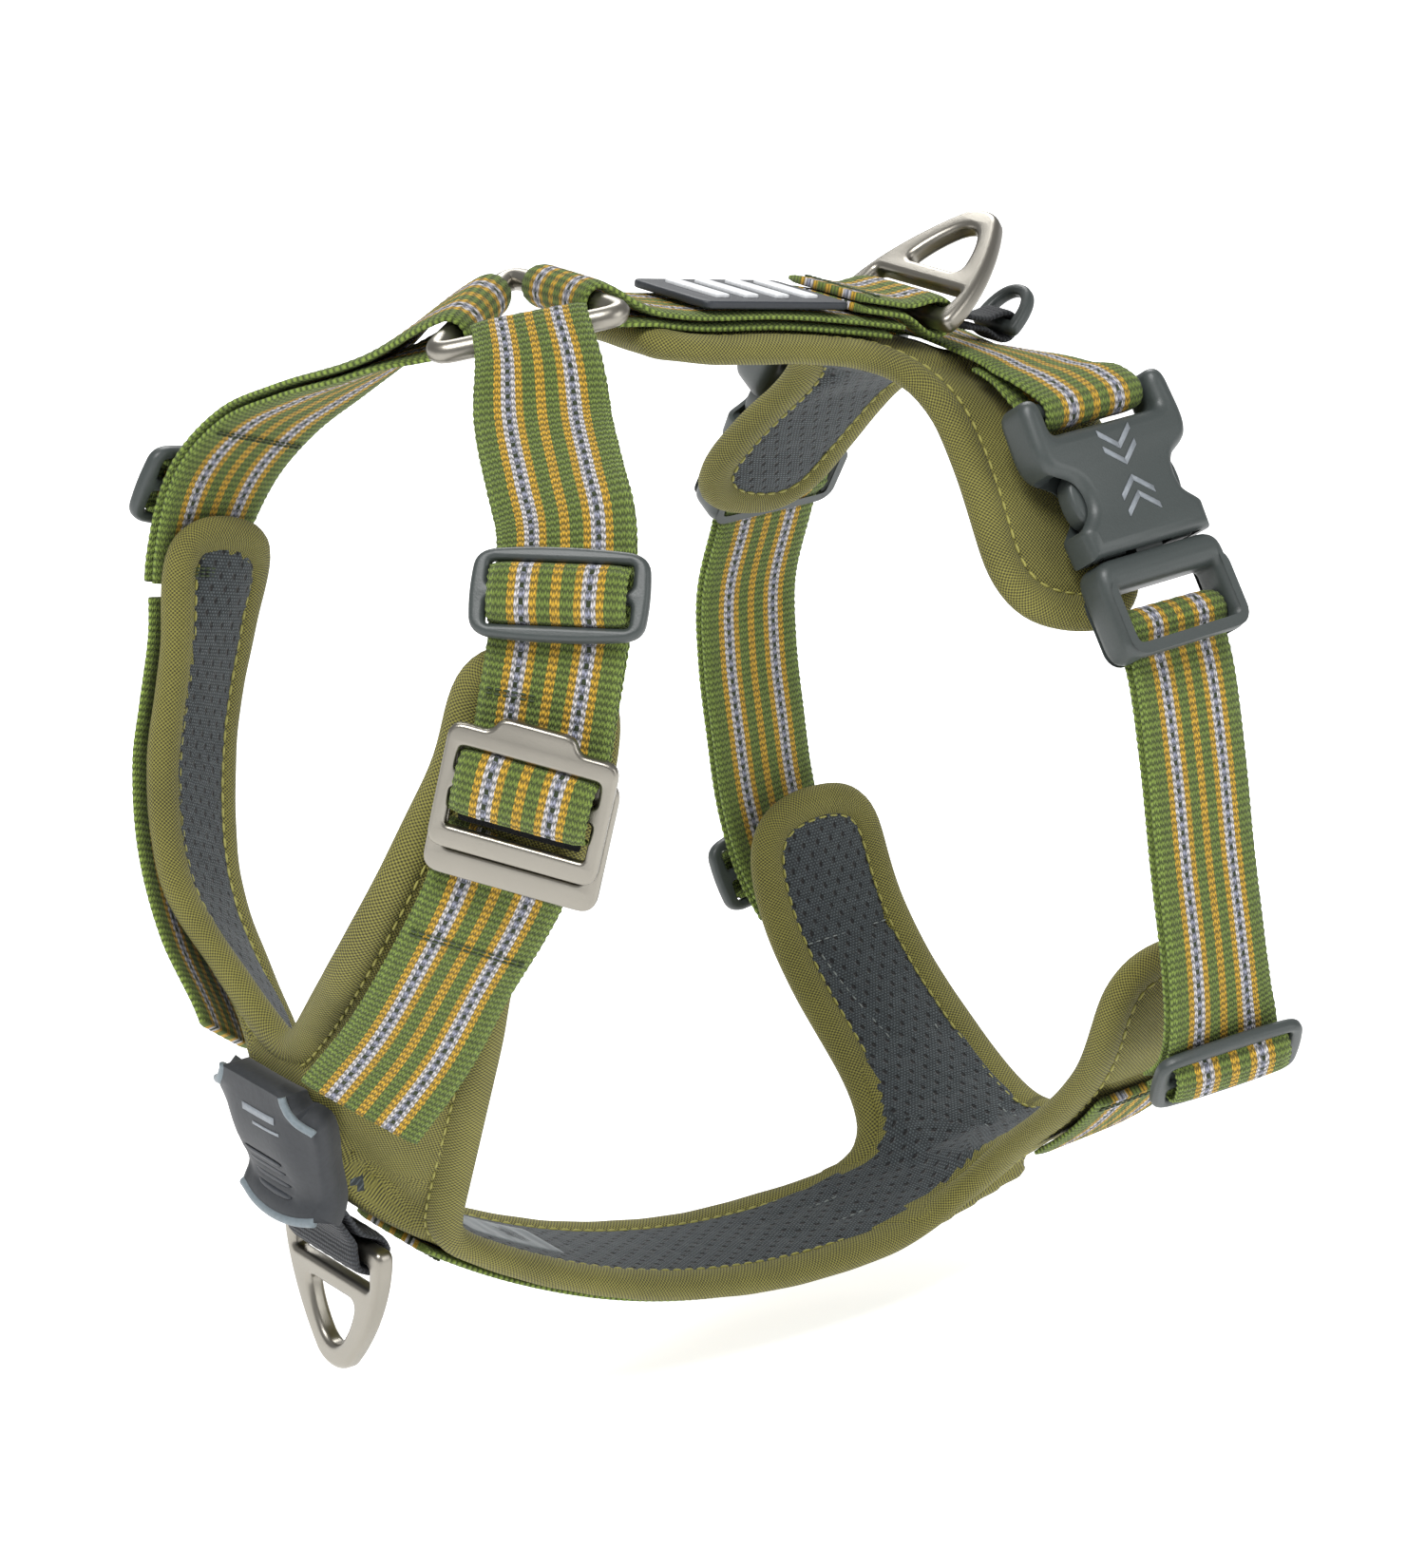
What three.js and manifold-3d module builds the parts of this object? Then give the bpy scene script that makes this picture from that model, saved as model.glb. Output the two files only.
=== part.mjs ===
// Dog harness of striped webbing, padded chest and back pieces, moulded buckles
// and two metal leash rings. Millimetres, +Z up, +X to the dog's left, -Y to its
// chest. The origin lies on the back webbing, above the spine.

import * as THREE from 'three';
import { mergeVertices } from 'three/addons/utils/BufferGeometryUtils.js';
import Module from 'manifold-3d';

const wasm = await Module();
wasm.setup();

// ---- driving dimensions -------------------------------------------------
const WEB_WIDTH = 25.4;
const WEB_THICK = 1.7;
const GAP = 0.4;
const PAD_THICK = 5.4;
const PAD_EDGE = 1.6;
const BACK_PAD_WIDTH = 38;
const BACK_ARM_WIDTH = 38;
const BELLY_WIDTH = 40;
const BELLY_ARM_WIDTH = 37;
const NECK_PAD_WIDTH = 40;
const LAYER = WEB_THICK + GAP;
const ON_PAD = PAD_THICK / 2 + GAP + WEB_THICK / 2;
const WIRE_RADIUS = 2.2;
const BAR_RADIUS = 2.0;
const ROLL_RADIUS = WIRE_RADIUS + 0.4 + WEB_THICK / 2;
const RING_LOOP_RADIUS = BAR_RADIUS + 0.8 + WEB_THICK / 2;
const RING_LOOP_WIDTH = 20.5;
const BUCKLE_LOOP_RADIUS = BAR_RADIUS + 0.4 + WEB_THICK / 2;
const RING_HALF = 19.5;
const RING_DEPTH = 33;
const RING_CORNER = 4.5;
const RING_WIDTH = 35;
const RING_LENGTH = 29;
const RING_THICK = 4;
const PATCH_WIDTH = 25;
const PATCH_LENGTH = 36;
const PATCH_THICK = 1.6;
const BUCKLE_THICK = 10;
const MALE_BAR_DROP = -1.2;
const BACK_PLATE_DROP = 6.5;
const BACK_PLATE_BEHIND = 3;
const GLIDE_WIDTH = 33;
const GLIDE_LENGTH = 17.6;
const GLIDE_THICK = 2.6;
const NECK_PAD_DEPTH = 5.2;
const NECK_PAD_TIP = 0.62;

// Where the moving hardware sits, and which way it points.
const REAR_PIVOT = [0, 30.8, -5.2];
const REAR_RING_UP = [0, 0.836, 0.549];
const REAR_RING_OUT = [0, -0.549, 0.836];
const BUCKLE_SPLIT = [57.2, 47, -46];
const BUCKLE_UP = [-0.54, -0.05, 0.84];
const BUCKLE_OUT = [0.84, 0, 0.54];

// ---- colours ------------------------------------------------------------
const OLIVE = { color: 0x82823c, roughness: 0.85, metalness: 0 };
const GREEN = { color: 0x5f7d36, roughness: 0.85, metalness: 0 };
const SLATE = { color: 0x5c6868, roughness: 0.5, metalness: 0 };
const NICKEL = { color: 0xb9b4aa, roughness: 0.35, metalness: 1 };
const CHARCOAL = { color: 0x45494e, roughness: 0.8, metalness: 0 };
const BLACK = { color: 0x22252a, roughness: 0.8, metalness: 0 };
const RUBBER = { color: 0x2b3036, roughness: 0.55, metalness: 0 };
const LABEL = { color: 0x8b9091, roughness: 0.7, metalness: 0 };

const harness = new THREE.Group();

// ---- routes: x, y, z of the centre line, then the outward direction --------
const BACK = [
  [0, -50.8, 8.8, 0, 0.1, 0.99],
  [0, -43, 5.8, 0, 0.3, 0.95],
  [0, -30, 2.4, 0, 0.14, 0.99],
  [0, -8, -0.6, 0, 0.16, 0.99],
  [0, 10, -4.2, 0, 0.2, 0.98],
  [0, 24, -7.5, 0, 0.24, 0.97],
  [0, 40, -11.7, 0, 0.28, 0.96],
  [0, 58, -17.4, 0, 0.32, 0.95],
];
const BACK_ARM = [
  [0, 43, -20, 0, 0.2, 0.98],
  [14, 42.5, -21.2, 0.2, 0.15, 0.97],
  [27, 40.5, -26.4, 0.5, 0, 0.86],
  [37.5, 37.5, -36.4, 0.76, 0, 0.65],
  [48, 34, -49.5, 0.85, 0, 0.53],
  [54.5, 30.5, -60, 0.88, 0, 0.48],
];
// From the female buckle's bar over the back to the spine, on the left.
const GIRTH_TOP = [
  [39.9, 45.4, -19.1, 0.55, -0.02, 0.83],
  [33, 45.1, -16.4, 0.3, 0, 0.95],
  [24, 45.8, -15.4, 0.12, 0.1, 0.99],
  [12, 46, -15.4, 0.04, 0.2, 0.98],
  [0, 46, -15.6, 0, 0.28, 0.96],
];
// From the male buckle's bar down to the belly, and its slightly closer right twin.
const GIRTH_LEFT = [
  [64, 47.7, -58.85, 0.86, 0, 0.5],
  [67.9, 48, -68, 0.92, 0, 0.38],
  [72.4, 48, -86, 0.98, 0, 0.2],
  [76, 48, -105, 0.985, 0, 0.17],
  [79, 48.8, -123, 1, 0, 0.03],
  [79.3, 50.5, -136, 0.98, -0.03, -0.2],
  [75.6, 54.2, -147.6, 0.72, -0.1, -0.68],
  [66, 58, -156.5, 0.5, -0.1, -0.86],
];
const GIRTH_RIGHT = [
  [-64, 47.7, -58.85, -0.86, 0, 0.5],
  [-68, 48.2, -68, -0.92, 0, 0.38],
  [-73, 48, -84, -1, 0, 0.1],
  [-73.2, 48.5, -100, -1, 0, 0],
  [-71.6, 49.5, -116, -1, 0, -0.06],
  [-70.2, 51.2, -132, -0.99, 0, -0.12],
  [-67.6, 54, -147, -0.95, -0.03, -0.3],
  [-61.5, 57, -159, -0.8, -0.05, -0.6],
];
const BELLY_ARM = [
  [0, 57, -193.5, 0, 0.1, -1],
  [14, 57.5, -188.5, 0.25, 0.08, -0.97],
  [29, 57.5, -179, 0.48, 0.06, -0.87],
  [42, 57, -168.5, 0.66, 0.04, -0.75],
  [53, 56.5, -155, 0.86, 0.02, -0.5],
  [58, 56, -141.5, 0.97, 0, -0.22],
  [59.5, 55.5, -129, 1, 0, -0.05],
];
const BELLY = [
  [0, -118, -131, 0, -0.98, -0.2],
  [0, -117, -147, 0, -0.88, -0.47],
  [0, -108.5, -159.5, 0, -0.66, -0.75],
  [0, -94, -170.5, 0, -0.5, -0.87],
  [0, -73, -183, 0, -0.38, -0.92],
  [0, -50, -193, 0, -0.28, -0.96],
  [0, -26, -199.5, 0, -0.16, -0.99],
  [0, 0, -202.5, 0, -0.02, -1],
  [0, 28, -200.5, 0, 0.12, -1],
  [0, 58, -193.5, 0, 0.22, -0.98],
];
// The neck straps from the withers ring to the chest patch. The right one lies
// flatter against its side.
const NECK_LEFT = [
  [10.1, -66.35, 5.2, 0.305, -0.382, 0.865],
  [18.6, -70.8, 0.4, 0.38, -0.36, 0.86],
  [27.8, -76.4, -7, 0.46, -0.4, 0.79],
  [39.3, -81.9, -13.9, 0.52, -0.5, 0.69],
  [48.7, -86.2, -20.4, 0.58, -0.6, 0.55],
  [57, -92.9, -31.5, 0.62, -0.68, 0.39],
  [59.4, -97.9, -47.8, 0.64, -0.74, 0.2],
  [58.6, -101.7, -67, 0.66, -0.74, 0.08],
  [54, -104, -79.4, 0.72, -0.66, -0.1],
  [50.6, -106.5, -89.2, 0.8, -0.52, -0.26],
  [42.5, -109.9, -104.5, 0.82, -0.45, -0.34],
  [34.3, -113.3, -119.6, 0.76, -0.55, -0.33],
  [23.5, -117.8, -135.3, 0.69, -0.67, -0.28],
  [16, -121, -146, 0.62, -0.72, -0.3],
];
const NECK_RIGHT = [
  [-10.1, -66.35, 5.2, -0.305, -0.382, 0.865],
  [-18.6, -70.8, 0.4, -0.38, -0.34, 0.86],
  [-28.5, -76.4, -6.5, -0.52, -0.2, 0.83],
  [-40.5, -82, -13.6, -0.66, -0.04, 0.75],
  [-52, -87, -21.5, -0.78, 0.04, 0.62],
  [-60.5, -92.4, -33, -0.85, 0.02, 0.48],
  [-64, -97.4, -49, -0.9, -0.2, 0.26],
  [-63, -101.7, -66, -0.86, -0.42, 0.1],
  [-61, -106, -79.4, -0.84, -0.49, -0.02],
  [-58, -109.5, -90.5, -0.84, -0.5, -0.12],
  [-50, -114, -106, -0.8, -0.55, -0.22],
  [-38.5, -116.8, -121, -0.74, -0.6, -0.28],
  [-24, -118, -135.3, -0.68, -0.67, -0.28],
  [-16, -121, -146, -0.62, -0.72, -0.3],
];
// From the front leash ring's bar up behind the chest patch.
const CHEST_LOOP = [
  [0, -108.5, -171.5, 0, -0.9, -0.43],
  [0, -112.4, -166, 0, -0.82, -0.57],
  [0, -115.8, -160.6, 0, -0.8, -0.6],
];
const LIGHT_TAB = [
  [0, 56.5, -12.5, 0, 0.1, 0.99],
  [0, 46, -10, 0, 0.28, 0.96],
];
// From the rear leash ring's bar forward over the back webbing.
const REAR_LOOP = [
  [...REAR_PIVOT, 0, 0.2, 0.98],
  [0, 22.6, -2.7, 0, 0.24, 0.97],
  [0, 12, 0.1, 0, 0.22, 0.97],
];

// ---- vector helpers -------------------------------------------------------
function vec(v) {
  return new THREE.Vector3(v[0], v[1], v[2]);
}

function mirrorRoute(route) {
  return route.map(([x, y, z, a, b, c]) => [-x, y, z, -a, b, c]);
}

function reversed(route) {
  return [...route].reverse();
}

// Frames along a smooth route: centre, tangent, outward normal and width direction.
function framesAlong(route, { steps, from = 0, to = 1, lift = 0 }) {
  const centre = new THREE.CatmullRomCurve3(route.map(vec), false, 'centripetal');
  const outward = new THREE.CatmullRomCurve3(route.map((r) => vec(r.slice(3))), false, 'centripetal');
  const frames = [];
  for (let i = 0; i <= steps; i += 1) {
    const u = from + ((to - from) * i) / steps;
    const t = centre.getUtoTmapping(u);
    const tangent = centre.getTangent(t).normalize();
    const out = outward.getPoint(t);
    out.addScaledVector(tangent, -out.dot(tangent)).normalize();
    const across = new THREE.Vector3().crossVectors(out, tangent);
    const rise = typeof lift === 'function' ? lift(u) : lift;
    const point = centre.getPoint(t).addScaledVector(out, rise);
    frames.push({ point, tangent, out, across, u });
  }
  return frames;
}

// ---- solids -----------------------------------------------------------------
// Joins one section after another into a closed skin. Each section is a list of
// corners, and all have the same number.
function skin(sections, closed = false) {
  const positions = [];
  const count = sections[0].length;
  for (const section of sections) {
    for (const p of section) {
      positions.push(p.x, p.y, p.z);
    }
  }
  const index = [];
  const rings = sections.length;
  const last = closed ? rings : rings - 1;
  for (let i = 0; i < last; i += 1) {
    const a = i * count;
    const b = ((i + 1) % rings) * count;
    for (let j = 0; j < count; j += 1) {
      const k = (j + 1) % count;
      index.push(a + j, a + k, b + j);
      index.push(a + k, b + k, b + j);
    }
  }
  if (!closed) {
    const end = (rings - 1) * count;
    for (let j = 1; j < count - 1; j += 1) {
      index.push(0, j + 1, j);
      index.push(end, end + j, end + j + 1);
    }
  }
  const geometry = new THREE.BufferGeometry();
  geometry.setAttribute('position', new THREE.Float32BufferAttribute(positions, 3));
  geometry.setIndex(index);
  return outwardFacing(geometry);
}

// Turns a closed geometry's faces outward if they point in.
function outwardFacing(geometry) {
  const p = geometry.attributes.position;
  const index = geometry.index.array;
  const [a, b, c] = [new THREE.Vector3(), new THREE.Vector3(), new THREE.Vector3()];
  let volume = 0;
  for (let i = 0; i < index.length; i += 3) {
    a.fromBufferAttribute(p, index[i]);
    b.fromBufferAttribute(p, index[i + 1]);
    c.fromBufferAttribute(p, index[i + 2]);
    volume += a.dot(b.clone().cross(c));
  }
  if (volume < 0) {
    for (let i = 0; i < index.length; i += 3) {
      [index[i + 1], index[i + 2]] = [index[i + 2], index[i + 1]];
    }
  }
  return geometry;
}

function corner(frame, across, out) {
  return frame.point.clone().addScaledVector(frame.across, across).addScaledVector(frame.out, out);
}

// A flat webbing band along a route.
function band(route, options) {
  const { width = WEB_WIDTH, thick = WEB_THICK } = options;
  const sections = framesAlong(route, options).map((f) => [
    corner(f, -width / 2, -thick / 2),
    corner(f, width / 2, -thick / 2),
    corner(f, width / 2, thick / 2),
    corner(f, -width / 2, thick / 2),
  ]);
  return skin(sections);
}

// A flat band whose width changes evenly along the widths given.
function taperedBand(route, options) {
  const { widths, thick = WEB_THICK, steps } = options;
  const sections = framesAlong(route, options).map((f, i) => {
    const at = (i / steps) * (widths.length - 1);
    const k = Math.min(Math.floor(at), widths.length - 2);
    const half = THREE.MathUtils.lerp(widths[k], widths[k + 1], at - k) / 2;
    return [
      corner(f, -half, -thick / 2),
      corner(f, half, -thick / 2),
      corner(f, half, thick / 2),
      corner(f, -half, thick / 2),
    ];
  });
  return skin(sections);
}

// Webbing looped round a bar at the route's start: out along the route, round the
// bar and back, the two layers closing up to LAYER within the settle length.
function loopedBand(route, options) {
  const { width = WEB_WIDTH, thick = WEB_THICK, loop, settle = 14, innerTo } = options;
  const { loopWidth = width } = options;
  const frames = framesAlong(route, options);
  const last = options.to ?? 1;
  const stations = [];
  let run = 0;
  const spaced = frames.map((f, i) => {
    run += i ? f.point.distanceTo(frames[i - 1].point) : 0;
    const open = 1 - THREE.MathUtils.smoothstep(run, 0, settle);
    return { f, half: LAYER / 2 + (loop - LAYER / 2) * open, wide: (width + (loopWidth - width) * open) / 2 };
  });
  const inner = spaced.filter(({ f }) => f.u <= (innerTo ?? last) + 1e-9);
  for (const { f, half, wide } of [...inner].reverse()) {
    stations.push({ f, wide, at: corner(f, 0, -half), out: f.out.clone().negate() });
  }
  const start = frames[0];
  for (let k = 1; k < 8; k += 1) {
    const angle = -Math.PI / 2 + (Math.PI * k) / 8;
    const out = start.out.clone().multiplyScalar(Math.sin(angle)).addScaledVector(start.tangent, -Math.cos(angle));
    stations.push({ f: start, wide: loopWidth / 2, at: start.point.clone().addScaledVector(out, loop), out });
  }
  for (const { f, half, wide } of spaced) {
    stations.push({ f, wide, at: corner(f, 0, half), out: f.out });
  }
  return skin(stations.map(({ f, wide, at, out }) => [
    at.clone().addScaledVector(f.across, -wide).addScaledVector(out, -thick / 2),
    at.clone().addScaledVector(f.across, wide).addScaledVector(out, -thick / 2),
    at.clone().addScaledVector(f.across, wide).addScaledVector(out, thick / 2),
    at.clone().addScaledVector(f.across, -wide).addScaledVector(out, thick / 2),
  ]));
}

// A padded band with thinner edges. roundEnd rounds its far end in plan, and the
// flares widen its near or far end where it joins another pad.
function pad(route, options) {
  const { width, steps, roundEnd = false, flare = 0, flareSide = 0, flareEnd = 0 } = options;
  const { trim = () => [0, 0] } = options;
  const thick = PAD_THICK;
  const frames = framesAlong(route, options);
  const length = frames.reduce((sum, f, i) => sum + (i ? f.point.distanceTo(frames[i - 1].point) : 0), 0);
  const sections = frames.map((f, i) => {
    const left = length * (1 - i / steps);
    let half = width / 2 + flareEnd * Math.max(0, 1 - left / (width * 0.9)) ** 2;
    if (roundEnd && left < width / 2) {
      const x = 1 - left / (width / 2);
      half *= Math.sqrt(Math.max(0.06, 1 - x * x));
    }
    const extra = flare * Math.max(0, 1 - (2.6 * i) / steps) ** 2;
    const shape = half / (width / 2);
    const [lowTrim, highTrim] = trim(f.u);
    const low = half + (flareSide < 0 ? extra : 0) - lowTrim * shape;
    const high = half + (flareSide > 0 ? extra : 0) - highTrim * shape;
    const soft = thick / 2 - PAD_EDGE;
    const edge = Math.min(PAD_EDGE * 1.5, Math.min(low, high) * 0.5);
    return [
      corner(f, -low, -soft),
      corner(f, -low + edge, -thick / 2),
      corner(f, high - edge, -thick / 2),
      corner(f, high, -soft),
      corner(f, high, soft),
      corner(f, high - edge, thick / 2),
      corner(f, -low + edge, thick / 2),
      corner(f, -low, soft),
    ];
  });
  return skin(sections);
}

// A round wire along a closed flat outline.
function ringWire(outline, radius, sides = 8) {
  const up = new THREE.Vector3(0, 0, 1);
  const count = outline.length;
  const sections = outline.map((p, i) => {
    const before = outline[(i + count - 1) % count];
    const after = outline[(i + 1) % count];
    const tangent = new THREE.Vector3(after.x - before.x, after.y - before.y, 0).normalize();
    const side = new THREE.Vector3().crossVectors(up, tangent);
    const ring = [];
    for (let j = 0; j < sides; j += 1) {
      const angle = (2 * Math.PI * j) / sides;
      ring.push(new THREE.Vector3(p.x, p.y, 0)
        .addScaledVector(side, Math.cos(angle) * radius)
        .addScaledVector(up, Math.sin(angle) * radius));
    }
    return ring;
  });
  return skin(sections, true);
}

// ---- booleans -------------------------------------------------------------
function toSolid(geometry) {
  const bare = geometry.clone();
  bare.deleteAttribute('normal');
  bare.deleteAttribute('uv');
  const merged = mergeVertices(bare, 1e-4);
  return new wasm.Manifold(new wasm.Mesh({
    numProp: 3,
    vertProperties: new Float32Array(merged.attributes.position.array),
    triVerts: new Uint32Array(merged.index.array),
  }));
}

function fromSolid(solid) {
  const mesh = solid.getMesh();
  const geometry = new THREE.BufferGeometry();
  geometry.setAttribute('position', new THREE.BufferAttribute(new Float32Array(mesh.vertProperties), 3));
  geometry.setIndex(new THREE.BufferAttribute(new Uint32Array(mesh.triVerts), 1));
  return geometry;
}

function join(...geometries) {
  return fromSolid(geometries.map(toSolid).reduce((sum, s) => sum.add(s)));
}

function cut(body, ...tools) {
  return fromSolid(tools.map(toSolid).reduce((rest, t) => rest.subtract(t), toSolid(body)));
}

function box(width, length, height, x = 0, y = 0, z = 0) {
  const geometry = new THREE.BoxGeometry(width, length, height);
  geometry.translate(x, y, z);
  return geometry;
}

// A flat plate with rounded outline, bevelled faces and optional holes.
function plate(shape, thick, bevel = 0.6) {
  const geometry = new THREE.ExtrudeGeometry(shape, {
    depth: thick - 2 * bevel,
    bevelEnabled: bevel > 0,
    bevelThickness: bevel,
    bevelSize: bevel,
    bevelOffset: -bevel,
    bevelSegments: 1,
    curveSegments: 3,
  });
  geometry.translate(0, 0, -thick / 2 + bevel);
  return geometry;
}

function roundedRect(target, width, length, radius, x = 0, y = 0) {
  const [l, r, b, t] = [x - width / 2, x + width / 2, y - length / 2, y + length / 2];
  target.moveTo(l + radius, b);
  target.lineTo(r - radius, b);
  target.quadraticCurveTo(r, b, r, b + radius);
  target.lineTo(r, t - radius);
  target.quadraticCurveTo(r, t, r - radius, t);
  target.lineTo(l + radius, t);
  target.quadraticCurveTo(l, t, l, t - radius);
  target.lineTo(l, b + radius);
  target.quadraticCurveTo(l, b, l + radius, b);
  return target;
}

// ---- adding meshes -----------------------------------------------------------
function add(name, geometry, look, parent = harness) {
  const bare = geometry;
  bare.deleteAttribute('normal');
  bare.deleteAttribute('uv');
  const merged = mergeVertices(bare, 1e-4);
  merged.computeVertexNormals();
  const mesh = new THREE.Mesh(merged, new THREE.MeshStandardMaterial(look));
  mesh.name = name;
  parent.add(mesh);
  return mesh;
}

// A group whose local X, Y and Z lie along across, along and out.
function seat(at, along, out) {
  const y = vec(along).normalize();
  const z = vec(out);
  z.addScaledVector(y, -z.dot(y)).normalize();
  const x = new THREE.Vector3().crossVectors(y, z);
  const group = new THREE.Group();
  group.quaternion.setFromRotationMatrix(new THREE.Matrix4().makeBasis(x, y, z));
  group.position.copy(vec(at));
  harness.add(group);
  return group;
}

const mirrored = (side, v) => [side * v[0], v[1], v[2]];
const neckRoute = (side) => (side > 0 ? NECK_LEFT : NECK_RIGHT);
const sideRoute = (side, route) => (side > 0 ? route : mirrorRoute(route));
const SIDES = [['left', 1], ['right', -1]];

// ---- pads ---------------------------------------------------------------------
function backPad() {
  const sink = (u) => -ON_PAD - LAYER / 2 - 0.3 - 0.8 * THREE.MathUtils.smoothstep(u, 0.45, 0.7);
  const spine = pad(BACK, { width: BACK_PAD_WIDTH, steps: 18, from: 0.09, to: 0.9, lift: sink });
  const arms = SIDES.map(([, side]) => pad(sideRoute(side, BACK_ARM), {
    width: BACK_ARM_WIDTH, steps: 16, roundEnd: true, flare: 7, flareSide: -side,
  }));
  return join(spine, ...arms);
}

function frontPad() {
  const parts = [pad(BELLY, { width: BELLY_WIDTH, steps: 30, flareEnd: 5 })];
  for (const [, side] of SIDES) {
    parts.push(pad(sideRoute(side, BELLY_ARM), {
      width: BELLY_ARM_WIDTH, steps: 18, roundEnd: true, flare: 13, flareSide: side,
    }));
    const trim = (u) => {
      const outer = side > 0 ? 7 * THREE.MathUtils.smoothstep(u, 0.12, 0.3) : 3;
      const inner = side > 0 ? 0 : 6 * THREE.MathUtils.smoothstep(u, 0.04, 0.16);
      return side > 0 ? [outer, inner] : [inner, outer];
    };
    const sink = (u) => -NECK_PAD_DEPTH - 3.4 * (1 - THREE.MathUtils.smoothstep(u, 0.04, 0.24));
    parts.push(pad(reversed(neckRoute(side)), {
      width: NECK_PAD_WIDTH, steps: 20, roundEnd: true, from: 0.02, to: NECK_PAD_TIP, lift: sink, trim,
    }));
  }
  return join(...parts);
}

add('back_pad', backPad(), OLIVE);
add('front_pad', frontPad(), OLIVE);

// ---- back: withers ring, spine webbing, patch and rear leash ring -----------------
function withersRing() {
  const outline = new THREE.Path();
  const corners = [[0, -0.5], [1, 0.5], [-1, 0.5]]
    .map(([x, y]) => new THREE.Vector2(x * RING_HALF, y * RING_DEPTH));
  corners.forEach((at, i) => {
    const before = corners[(i + 2) % 3].clone().sub(at).normalize().multiplyScalar(RING_CORNER).add(at);
    const after = corners[(i + 1) % 3].clone().sub(at).normalize().multiplyScalar(RING_CORNER).add(at);
    if (i === 0) {
      outline.moveTo(before.x, before.y);
    } else {
      outline.lineTo(before.x, before.y);
    }
    outline.quadraticCurveTo(at.x, at.y, after.x, after.y);
  });
  outline.closePath();
  return ringWire(outline.getSpacedPoints(36).slice(0, -1), WIRE_RADIUS);
}

const ringSeat = seat([0, -66.9, 5.1], [0, 0.975, 0.222], [0, -0.222, 0.975]);
add('withers_ring', withersRing(), NICKEL, ringSeat);

add('back_webbing', loopedBand(BACK, {
  steps: 18, to: 0.665, loop: ROLL_RADIUS, loopWidth: RING_LOOP_WIDTH, innerTo: 0.4,
}), GREEN);

const patchFrame = framesAlong(BACK, { steps: 1, from: 0.375, to: 0.38, lift: LAYER + 1.2 })[0];
const patchSeat = seat(patchFrame.point.toArray(), patchFrame.tangent.toArray(), patchFrame.out.toArray());
add('back_patch', plate(roundedRect(new THREE.Shape(), PATCH_WIDTH, PATCH_LENGTH, 2.5), PATCH_THICK), RUBBER, patchSeat);

add('rear_ring_loop', loopedBand(REAR_LOOP, { steps: 10, loop: RING_LOOP_RADIUS, settle: 9 }), GREEN);

// Flat forged leash ring: the strap bar along X at the origin, the eye towards +Y.
function leashRing() {
  const shape = new THREE.Shape();
  const half = RING_WIDTH / 2;
  shape.moveTo(-half + 2, -2.2);
  shape.lineTo(half - 2, -2.2);
  shape.quadraticCurveTo(half, -2.2, half, 0.4);
  shape.bezierCurveTo(half - 0.4, 9, half - 6, 19, 6, 25.4);
  shape.bezierCurveTo(3.5, RING_LENGTH, -3.5, RING_LENGTH, -6, 25.4);
  shape.bezierCurveTo(-half + 6, 19, -half + 0.4, 9, -half, 0.4);
  shape.quadraticCurveTo(-half, -2.2, -half + 2, -2.2);
  const slot = new THREE.Path();
  roundedRect(slot, WEB_WIDTH + 1.6, 5, 1, 0, 4.4);
  const eye = new THREE.Path();
  eye.moveTo(-6.4, 11);
  eye.lineTo(6.4, 11);
  eye.quadraticCurveTo(8.6, 11, 7.8, 13.2);
  eye.quadraticCurveTo(6.4, 18, 3.2, 21.6);
  eye.quadraticCurveTo(0, 24.4, -3.2, 21.6);
  eye.quadraticCurveTo(-6.4, 18, -7.8, 13.2);
  eye.quadraticCurveTo(-8.6, 11, -6.4, 11);
  shape.holes.push(slot, eye);
  return plate(shape, RING_THICK, 0.9);
}

const rearRingSeat = seat(REAR_PIVOT, REAR_RING_UP, REAR_RING_OUT);
add('rear_leash_ring', leashRing(), NICKEL, rearRingSeat);

// ---- small plastic light loop ------------------------------------------------------
function lightLoop() {
  const shape = new THREE.Shape();
  shape.moveTo(-5.2, -1.4);
  shape.lineTo(5.2, -1.4);
  shape.quadraticCurveTo(6.6, -1.4, 6.6, 0.4);
  shape.bezierCurveTo(6.6, 5, 4.8, 10, 0, 10);
  shape.bezierCurveTo(-4.8, 10, -6.6, 5, -6.6, 0.4);
  shape.quadraticCurveTo(-6.6, -1.4, -5.2, -1.4);
  const hole = new THREE.Path();
  hole.moveTo(-3.9, 1.4);
  hole.lineTo(3.9, 1.4);
  hole.bezierCurveTo(4, 4.2, 2.8, 7.6, 0, 7.6);
  hole.bezierCurveTo(-2.8, 7.6, -4, 4.2, -3.9, 1.4);
  shape.holes.push(hole);
  return plate(shape, 2.8, 0.6);
}

const lightSeat = seat(LIGHT_TAB[0].slice(0, 3), [0, 0.74, 0.67], [0, -0.67, 0.74]);
add('light_loop', lightLoop(), SLATE, lightSeat);
add('light_loop_tab', loopedBand(LIGHT_TAB, { steps: 6, width: 7, thick: 1.2, loop: 2.8, settle: 6 }), BLACK);

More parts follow.
